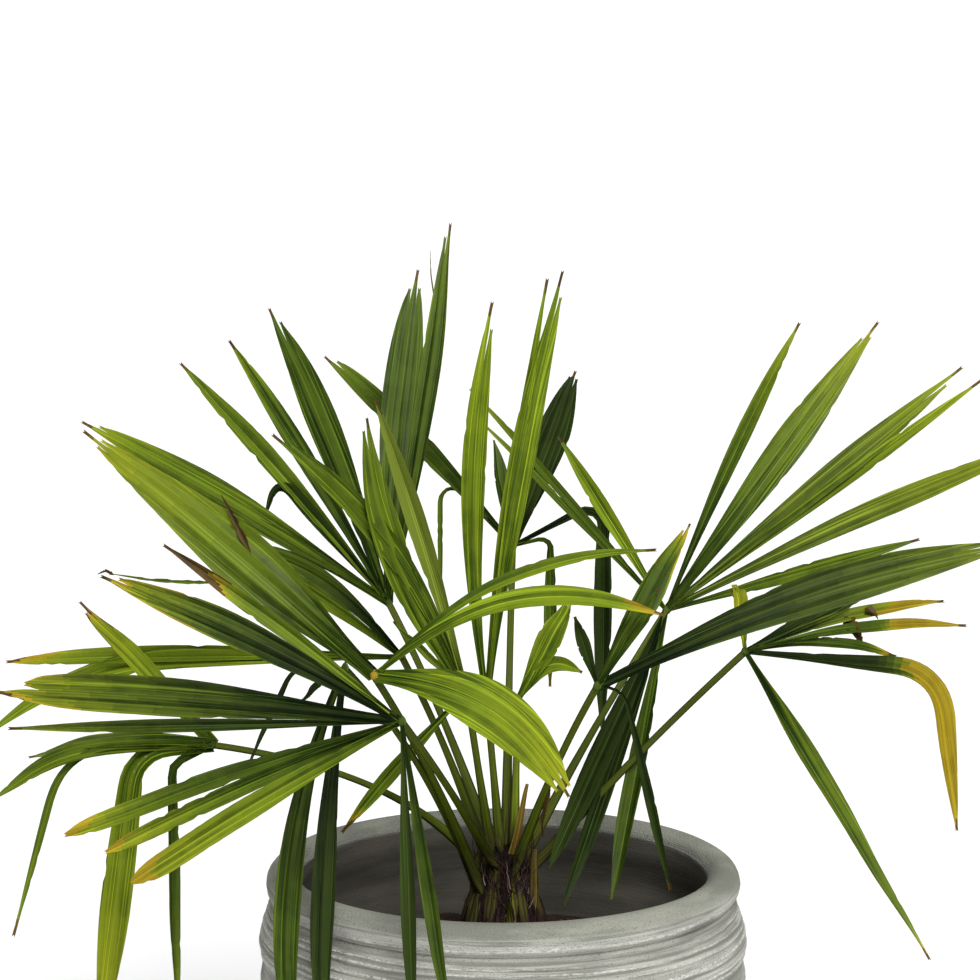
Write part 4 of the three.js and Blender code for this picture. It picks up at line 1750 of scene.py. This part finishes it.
    def build(self) -> None:
        """Builds the trunk, its old sheaths and its fibres."""
        self.core()
        self.wraps()
        self.fibres()


# Leaf stalks


@dataclass
class Stalk:
    """A flattened leaf stalk whose sheath clasps the trunk and runs on down it."""

    leaf: Leaf
    foot_width: float = 11.0
    tip_width: float = 7.0
    flatness: float = 0.72
    furrow: float = 0.28
    sides: int = 16
    stations: int = 44
    lower_stations: int = 16
    sheath_width: float = 15.0
    sheath_depth: float = 6.0
    sheath_until: float = 0.14
    sheath_end: float = 4.5
    clasp_share: float = 0.4
    taper_rate: float = 1.6
    end_flatness: float = 0.7
    clearance: float = 1.5
    buried: float = 5.0
    inmost: float = 8.0
    free_from: float = 434.0
    free_over: float = 26.0
    turn_from: int = 10
    turn_over: int = 16
    crease: float = 38.0
    bark: Trunk = field(default_factory=Trunk)

    def route(self, share: Array) -> Array:
        """The stalk's middles, by the rule of its solid.

        Args:
            share: Shares of its route.

        Returns:
            The place at each share, in millimetres.
        """
        foot, hub = np.array(self.leaf.foot, float), np.array(self.leaf.hub, float)
        reach, climb = 0.5 - 0.3 * self.leaf.arch, 0.5 + 0.3 * self.leaf.arch
        shoulder = foot + (hub - foot) * np.array([reach, reach, climb])
        share = share[:, None]
        return foot * (1 - share) ** 2 + shoulder * 2 * share * (1 - share) + hub * share**2

    def down_trunk(self, upper: Array, below: Array) -> Array:
        """The middles of the sheath below the stalk's foot.

        Args:
            upper: The stalk's own middles, which are moved out where they would lie in the trunk.
            below: How far down each ring of the sheath lies, from 0 at the stalk's foot to 1.

        Returns:
            The middles, lowest first.
        """
        bark, (x, y, z) = self.bark, upper[0].copy()
        height = lerp(z, bark.foot + 6, below)
        inset = math.hypot(x, y)
        radius = inset
        if inset > self.inmost:
            radius = bark.radius_at(height) + self.clearance - self.buried * smooth((below - 0.9) / 0.1)
            least = bark.radius_at(np.minimum(upper[:, 2], bark.top)) + self.clearance
            least *= 1 - smooth((upper[:, 2] - self.free_from) / self.free_over)
            upper[:, :2] *= np.maximum(least / np.hypot(upper[:, 0], upper[:, 1]), 1.0)[:, None]
        return polar(radius, math.atan2(y, x), height)

    def sections(self, share: Array, below: Array) -> Array:
        """The outline of each ring.

        Args:
            share: How far up the stalk each upper ring lies.
            below: How far down the sheath each lower ring lies.

        Returns:
            How far each side lies across and deep, in millimetres, by ring.
        """
        swell, spent = smooth(below / 0.3), smooth((below - 0.25) / 0.7)
        clasp = 1 - smooth(share / self.sheath_until)
        width = lerp(self.foot_width, self.tip_width, smooth(share * self.taper_rate))
        width += (self.sheath_width - self.foot_width) * self.clasp_share * clasp
        depth = width * self.flatness
        lower_width = lerp(lerp(width[0], self.sheath_width, swell), self.sheath_end, spent)
        end_depth = self.end_flatness * self.sheath_end
        lower_depth = lerp(lerp(depth[0], self.sheath_depth, swell), end_depth, spent)
        size = np.column_stack([np.append(lower_width, width), np.append(lower_depth, depth)]) / 2
        around = np.arange(self.sides) / self.sides * TAU
        hollow = 1 - self.furrow * np.maximum(np.sin(around), 0) ** 3
        return np.column_stack([np.cos(around), np.sin(around) * hollow]) * size[:, None]

    def build(self) -> Piece:
        """The dressed stalk, from the foot of its sheath to its hub.

        Returns:
            The finished stalk.
        """
        share = np.linspace(0.0, 1.0, self.stations)
        below = np.linspace(1.0, 0.0, self.lower_stations, endpoint=False)
        upper = self.route(share)
        x, y = upper[0, :2]
        centres = np.vstack([self.down_trunk(upper, below), upper])
        along = unit(np.gradient(centres, axis=0))
        inward = -polar(1.0, math.atan2(y, x), 0.0)
        turn = smooth((np.arange(len(centres)) - self.turn_from) / self.turn_over)[:, None]
        facing = unit(lerp(inward, face_frame(self.leaf.face)[0], turn))
        across = unit(np.cross(along, facing))
        deep = np.cross(across, along)
        piece = tube(f"stem_{self.leaf.name}", centres, across, deep, self.sections(share, below))
        finish = stalk_finish(self.leaf.stalk)
        return finish_piece(piece, f"stalk_{self.leaf.name}", finish, self.crease)


@dataclass
class OldRemain:
    """A dead sheath or cut stalk left at the neck."""

    name: str
    foot: Point
    tip: Point
    width: float
    finish: GrowthFinish
    rings: int = 22
    sides: int = 14
    crook: float = 1.2
    taper: float = 0.62
    flatness: float = 0.7
    furrows: int = 5
    furrow_depth: float = 0.1
    crease: float = 38.0

    def build(self) -> Piece:
        """The dry, furrowed remain.

        Returns:
            The finished piece.
        """
        share = np.linspace(0, 1, self.rings)
        centres = sampled(np.array([self.foot, self.tip], float), share)
        centres[:, 0] += self.crook * np.sin(share * 5)
        along = unit(np.gradient(centres, axis=0))
        across = unit(np.cross(along, np.array([0.0, -1.0, 0.0])))
        deep = np.cross(along, across)
        angle = np.arange(self.sides) / self.sides * TAU
        width = self.width * (1 - self.taper * share**1.6) / 2
        furrow = 1 + self.furrow_depth * np.cos(self.furrows * angle) + 0.05 * np.sin(9 * share)[:, None]
        section = np.stack([np.cos(angle) * furrow, np.sin(angle) * furrow * self.flatness], axis=-1)
        piece = tube(f"{self.name}_dry", centres, across, deep, section * width[:, None, None])
        paint(piece, "shade", np.full(len(piece.data.vertices), 0.5))
        return finish_piece(piece, self.name, self.finish, self.crease)


SHEATH_DRY = GrowthFinish("sheath_dry", 0.2, (0.05, 0.035, 0.012), (0.2, 0.15, 0.03), 0.0008)
STALK_DRY = GrowthFinish("stalk_dry", 0.2, (0.12, 0.07, 0.012), (0.36, 0.25, 0.03), 0.0008)
OLD_REMAINS = (
    OldRemain("old_sheath", (27, -14, 372), (33, -14, 446), 12, SHEATH_DRY),
    OldRemain("old_stalk", (7, -10, 434), (25, -12, 512), 8, STALK_DRY),
)


# Pot and soil


STONEWARE = StonewareFinish("stoneware_turned", 0.25, (0.2, 0.2, 0.172), (0.415, 0.415, 0.368))
SOIL = SoilFinish("soil_crumb", 0.1, (0.014, 0.009, 0.007), (0.055, 0.036, 0.026))
Waves = tuple[tuple[int, float], ...]


@dataclass
class Pot:
    """A round stoneware pot: a rolled lip over a turned body with uneven layered bands."""

    height: float = 430.0
    lip_centre_radius: float = 220.0
    lip_radius: float = 16.5
    neck_radius: float = 233.0
    neck_height: float = 396.0
    belly_radius: float = 241.0
    belly_height: float = 345.0
    foot_radius: float = 172.0
    foot_curve: float = 1.9
    wall: float = 27.0
    floor: float = 24.0
    bands: int = 11
    band_relief: float = 2.4
    band_unevenness: float = 0.45
    band_rhythm: float = 1.9
    crest_share: float = 0.35
    top_groove: float = 392.0
    foot_round: float = 6.0
    steps: int = 200
    rows: int = 420
    layers: int = 66
    layer_top: float = 421.0
    line_waves: Waves = ((1, 1.0), (2, 0.8), (3, 0.7), (7, 0.4), (17, 0.25), (38, 0.15))
    ridge_waves: Waves = ((2, 0.2), (5, 0.2), (11, 0.15))
    stand_waves: Waves = ((1, 0.4), (3, 0.4), (6, 0.3), (13, 0.2))
    lip_waves: tuple[Point, ...] = ((2, 0.35, 0.4), (5, 0.2, 1.9), (9, 0.14, 4.1))
    layer_gaps: tuple[float, float] = (0.4, 1.6)
    line_width: float = 1.4
    ridge_sizes: tuple[float, float] = (0.3, 1.0)
    ridge_range: tuple[float, float] = (0.1, 1.2)
    groove_below: float = 3.0
    groove_width: float = 1.2
    stand_spread: float = 0.7
    lip_wind: float = 0.05
    lip_unevenness: float = 0.8
    most_stand: float = 1.4
    throat: float = 404.0
    throat_blend: float = 45.0
    plain_middle: float = 100.0
    lip_steps: int = 22
    crease: float = 55.0
    seed: int = 5

    def body_radius(self, height: Array) -> Array:
        """The outside radius without the layered bands.

        Args:
            height: Heights in millimetres.

        Returns:
            The radius at each, in millimetres.
        """
        above = (height - self.belly_height) / (self.neck_height - self.belly_height)
        below = 1 - np.minimum(height, self.belly_height) / self.belly_height
        upper = self.belly_radius - (self.belly_radius - self.neck_radius) * above**2
        lower = self.belly_radius - (self.belly_radius - self.foot_radius) * below**self.foot_curve
        return np.where(height >= self.belly_height, upper, lower)

    def inside_radius(self, height: Array) -> Array:
        """The inside radius at heights."""
        return self.body_radius(np.minimum(height, self.belly_height)) - self.wall - 1.2

    def groove_heights(self) -> Array:
        """The grooves between the uneven bands.

        Returns:
            Their heights from the neck down to the foot, in millimetres.
        """
        count = np.arange(self.bands + 1)
        beat = count + self.band_unevenness * np.sin(self.band_rhythm * (count - 0.5))
        return lerp(self.top_groove, self.foot_round, (beat - beat[0]) / (beat[-1] - beat[0]))

    def banded(self, height: Array) -> Array:
        """How far the bands stand out.

        Args:
            height: Heights in millimetres.

        Returns:
            How far they stand out at each, in millimetres.
        """
        grooves = self.groove_heights()
        crests = lerp(grooves[1:], grooves[:-1], self.crest_share)
        levels = np.concatenate([grooves, crests])
        stands = np.concatenate([np.full(len(grooves), -0.5), np.ones(len(crests))]) * self.band_relief
        order = np.argsort(levels)
        return np.interp(height, levels[order], stands[order])

    def profile(self) -> Array:
        """The pot's whole profile, from the middle of its underside to the middle of its floor.

        Returns:
            Rows of radius and height, in millimetres.
        """
        rise = np.linspace(5.0, self.neck_height - 2, self.rows)
        side = np.column_stack([self.body_radius(rise), rise])
        angle = np.radians(np.linspace(-62, 182, self.lip_steps))
        lip = np.column_stack([np.cos(angle), np.sin(angle)]) * self.lip_radius
        lip += (self.lip_centre_radius, self.height - self.lip_radius)
        drop = np.concatenate([np.linspace(self.throat, 310, 24), np.linspace(270, self.floor, 5)])
        blend = smooth((self.throat - drop) / self.throat_blend)
        wall = lerp(self.lip_centre_radius - self.lip_radius, self.inside_radius(drop), blend)
        inside = np.column_stack([wall, drop])
        foot = self.foot_radius
        under = np.array([[0.0, 0.0], [foot * 0.5, 0.0], [foot - 6, 0.0], [foot - 2, 1.2]])
        return np.vstack([under, side, lip, inside, [0.0, self.floor]])

    def layered(self, angle: Array, height: Array) -> tuple[Array, Array]:
        """The uneven layers of the turned body.

        Args:
            angle: The angle round the pot of each place, in radians.
            height: Its height in millimetres.

        Returns:
            How far the surface stands out in millimetres, and painted light from -1, painted shade in the
            grooves, to 1, painted highlight on the ledges.
        """
        rng = np.random.default_rng(self.seed)
        gaps = rng.uniform(*self.layer_gaps, self.layers)
        levels = np.cumsum(gaps) / gaps.sum() * (self.layer_top - 2)
        lines, ridges, outs = [], [], []
        for level in levels:
            lines.append(level + self.wander(rng, angle, self.line_waves))
            ridges.append(rng.uniform(*self.ridge_sizes) + self.wander(rng, angle, self.ridge_waves))
            outs.append(rng.normal(0, self.stand_spread) + self.wander(rng, angle, self.stand_waves))
        ends = (np.full(len(angle), level) for level in (-12.0, self.layer_top + 9.0))
        lines = np.sort([*ends, *lines], axis=0)
        outs = np.clip([*outs, outs[-1]], -self.most_stand, self.most_stand)
        ridges = np.clip([ridges[0], *ridges, ridges[-1]], *self.ridge_range)
        layer = (height[None] > lines[1:-1]).sum(axis=0)
        spot = np.arange(len(angle))
        over, under = height - lines[layer, spot], lines[layer + 1, spot] - height
        ridge = ridges[layer, spot] * np.exp(-((over / self.line_width) ** 2))
        ridge += ridges[layer + 1, spot] * np.exp(-((under / self.line_width) ** 2))
        below = (under - self.groove_below) / self.groove_width
        groove = ridges[layer + 1, spot] * np.exp(-(below**2))
        stand = 0.5 * outs[layer, spot] + 0.9 * ridge - 0.8 * groove
        # Painted light: ridges paler as painted highlight, the grooves below them darker as painted shade,
        # and layers that stand out a little lighter.
        shade = np.clip(0.42 * outs[layer, spot] + 0.9 * ridge - 1.0 * groove - 0.08, -1, 1)
        return stand, shade

    def wander(self, rng: np.random.Generator, angle: Array, waves: Waves) -> Array:
        """A line's slow wander round the pot.

        Args:
            rng: The pot's own chance.
            angle: The angle of each place, in radians.
            waves: How many turns each wave makes, and its usual size in millimetres.

        Returns:
            The wander at each place, in millimetres.
        """
        total = np.zeros(len(angle))
        for turns, size in waves:
            total += size * rng.normal() * np.sin(turns * angle + rng.uniform(0, TAU))
        return total

    def build(self) -> Piece:
        """The dressed pot.

        Returns:
            The finished pot.
        """
        piece = spun("pot_stoneware", self.profile(), self.steps)
        places = places_of(piece)
        radius = np.hypot(places[:, 0], places[:, 1]) / MM
        height = places[:, 2] / MM
        angle = np.arctan2(places[:, 1], places[:, 0])
        outer = radius > self.inside_radius(height) + 0.7 * self.wall
        outer &= (height < self.layer_top + 4) & (radius > self.plain_middle)
        stand, shade = self.layered(angle, height)
        layered = smooth((height - 2) / 10) * smooth((self.layer_top - height) / 5)
        layered = np.where(outer, layered * lerp(1.0, 0.7, smooth((height - self.neck_height) / 8)), 0.0)
        bands = self.banded(height) * (outer & (height < self.neck_height))
        bands *= smooth((height - 1) / 8) * smooth((self.neck_height + 2 - height) / 6)
        hollow = self.inside_radius(height) + 5
        inner = (radius < hollow) & (height < self.height - 4) & (radius > self.plain_middle)
        lip = smooth((height - self.layer_top + 5) / 4)
        wound = angle + self.lip_wind * height
        uneven = sum(size * np.sin(turns * wound + start) for turns, size, start in self.lip_waves)
        moved = stand * layered + bands + uneven * (lip + inner) * self.lip_unevenness
        places[:, :2] *= np.where(radius > 1, 1 + moved / np.maximum(radius, 1), 1)[:, None]
        move_to(piece, places)
        dark = smooth((self.height - 11 - height) / 6) * smooth((hollow + 1 - radius) / 4)
        # The relief attribute carries the layers' painted shade and painted highlight to the material.
        paint(piece, "relief", shade * (layered > 0.02))
        paint(piece, "lip", lip)
        paint(piece, "inner", np.where(inner, dark, 0.0))
        return finish_piece(piece, "pot", STONEWARE, self.crease)


@dataclass
class Soil:
    """Potting soil that fills the pot to below its rim, with litter on top."""

    pot: Pot
    top: float = 318.0
    dome: float = 6.0
    clods: tuple[Point, ...] = ((0.045, 2.0, 1.0), (0.11, 1.5, 2.3), (0.26, 1.1, 0.7), (0.6, 0.6, 4.0))
    dome_reach: float = 200.0
    sunk: float = 1.5
    gap: float = 1.0
    rings: int = 90
    steps: int = 180
    crease: float = 70.0
    chips: int = 420
    chip_sizes: tuple[tuple[float, float], ...] = ((2.0, 7.0), (1.2, 3.0), (0.5, 1.4))
    chip_shares: Point = (0.5, 0.38, 0.12)
    chip_reach: float = 203.0
    chip_nearest: float = 0.06
    chip_raggedness: tuple[float, float] = (0.65, 1.1)
    chip_tilt: float = 0.3
    chip_lift: float = 0.4
    seed: int = 23

    def surface(self, radius: Array, angle: Array) -> Array:
        """The height of the crumbly top.

        Args:
            radius: How far each place lies from the middle, in millimetres.
            angle: Its angle about the middle, in radians.

        Returns:
            The height at each place, in millimetres.
        """
        swell = self.dome * (1 - smooth(radius / self.dome_reach))
        x, y, _ = np.moveaxis(polar(radius, angle, 0.0), -1, 0)
        waves = (size * np.sin(k * x + start) * np.sin(k * y + 2 * start) for k, size, start in self.clods)
        return self.top + swell + sum(waves) - self.sunk

    def build(self) -> Piece:
        """The soil plug with its crumbly top.

        Returns:
            The finished plug.
        """
        floor = self.pot.floor + 0.5
        out = np.linspace(0, 1, self.rings) * (float(self.pot.inside_radius(self.top)) - self.gap)
        crown = np.column_stack([out, np.full(len(out), self.top)])
        drop = np.array([300.0, 180.0, floor])
        side = np.column_stack([self.pot.inside_radius(drop) - self.gap, drop])
        piece = spun("soil_fill", np.vstack([crown, side, [0.0, floor]]), self.steps)
        places = places_of(piece)
        crust = places[:, 2] > (self.top - 1) * MM
        x, y = places[crust, 0], places[crust, 1]
        places[crust, 2] = self.surface(np.hypot(x, y) / MM, np.arctan2(y, x)) * MM
        move_to(piece, places)
        return finish_piece(piece, "soil", SOIL, self.crease)

    def litter(self) -> Piece:
        """Small chips of bark and dry leaf on the soil.

        Returns:
            The joined chips.
        """
        rng = np.random.default_rng(self.seed)
        sheaf = MeshSheaf()
        corners = np.array([[x, y, z] for z in (-1, 1) for y in (-1, 1) for x in (-1, 1)], float)
        box = np.array([[0, 2, 3, 1], [4, 5, 7, 6], [0, 1, 5, 4], [2, 6, 7, 3], [0, 4, 6, 2], [1, 3, 7, 5]])
        for _ in range(self.chips):
            radius = math.sqrt(rng.uniform(self.chip_nearest, 1)) * self.chip_reach
            angle = rng.uniform(0, TAU)
            size = np.array([rng.uniform(*span) for span in self.chip_sizes])
            shape = corners * size * rng.uniform(*self.chip_raggedness, (8, 3))
            turn = Matrix.Rotation(rng.uniform(0, TAU), 3, "Z")
            spin = turn @ Matrix.Rotation(rng.normal(0, self.chip_tilt), 3, "Y")
            place = polar(radius, angle, self.surface(radius, angle) + size[2] * self.chip_lift)
            slot = rng.choice(3, p=self.chip_shares)
            sheaf.add(shape @ np.array(spin).T + place, box, slot, corners[:, :2] * 0.002, rng.random())
        return sheaf.make("soil_litter", STRANDS, "soil", "soil")


# The studio


@dataclass
class Studio:
    """A pale floor, soft light and the camera at the photo's angle."""

    eye: Point = (-13.0, -2729.0, 1154.0)
    pitch: float = 7.3
    lens: float = 102.86
    sensor: float = 36.0
    floor_size: float = 400.0
    sky: float = 0.36
    sun: float = 3.7
    sun_spread: float = 28.0
    sun_from: Point = (0.42, -1.5, 1.6)
    floor_tones: tuple[Colour, Colour] = ((0.94, 0.94, 0.94), (0.96, 0.96, 0.96))

    def camera(self) -> None:
        """The camera, level across and pitched down."""
        data = bpy.data.cameras.new("camera")
        data.lens, data.sensor_width = self.lens, self.sensor
        camera = bpy.data.objects.new("camera", data)
        camera.location = [part * MM for part in self.eye]
        camera.rotation_euler = (math.radians(90 - self.pitch), 0, 0)
        bpy.context.scene.collection.objects.link(camera)
        bpy.context.scene.camera = camera

    def light(self) -> None:
        """One broad soft light from above the looker's right shoulder."""
        data = bpy.data.lights.new("key", "SUN")
        data.energy, data.angle = self.sun, math.radians(self.sun_spread)
        light = bpy.data.objects.new("key", data)
        light.location = self.sun_from
        light.rotation_euler = Vector(self.sun_from).to_track_quat("Z", "Y").to_euler()
        bpy.context.scene.collection.objects.link(light)

    def world(self) -> None:
        """An even white surround, a little dimmer as a light than it looks."""
        world = bpy.data.worlds.new("surround")
        world.use_nodes = True
        wires = Wiring(world.node_tree)
        surround = wires.find("ShaderNodeBackground")
        surround.inputs["Color"].default_value = (1.0, 1.0, 1.0, 1.0)
        seen = world.node_tree.nodes.new("ShaderNodeLightPath").outputs["Is Camera Ray"]
        wires.link(wires.spread(seen, 0.0, 1.0, self.sky, 1.05), surround.inputs["Strength"])
        bpy.context.scene.world = world

    def floor(self) -> None:
        """The plain pale floor."""
        deselect_all()
        bpy.ops.mesh.primitive_plane_add(size=self.floor_size, location=(0, 0, 0))
        floor = bpy.context.object
        floor.name = "floor"
        floor.data.materials.append(FloorFinish("floor_pale", 0.1, *self.floor_tones).material())

    def build(self) -> None:
        """Sets up the whole studio."""
        self.camera()
        self.world()
        self.floor()
        self.light()
        view = bpy.context.scene.view_settings
        view.view_transform = "Standard"


def main() -> None:
    """Builds the studio and the plant, piece by piece."""
    logging.basicConfig(level=logging.INFO, format="%(message)s")
    Studio().build()
    pot = Pot()
    pot.build()
    soil = Soil(pot)
    soil.build()
    soil.litter()
    Trunk().build()
    for remain in OLD_REMAINS:
        remain.build()
    for number, leaf in enumerate(LEAVES):
        Stalk(leaf).build()
        FanBlade(leaf, seed=100 + number).build()


if __name__ == "__main__":
    main()
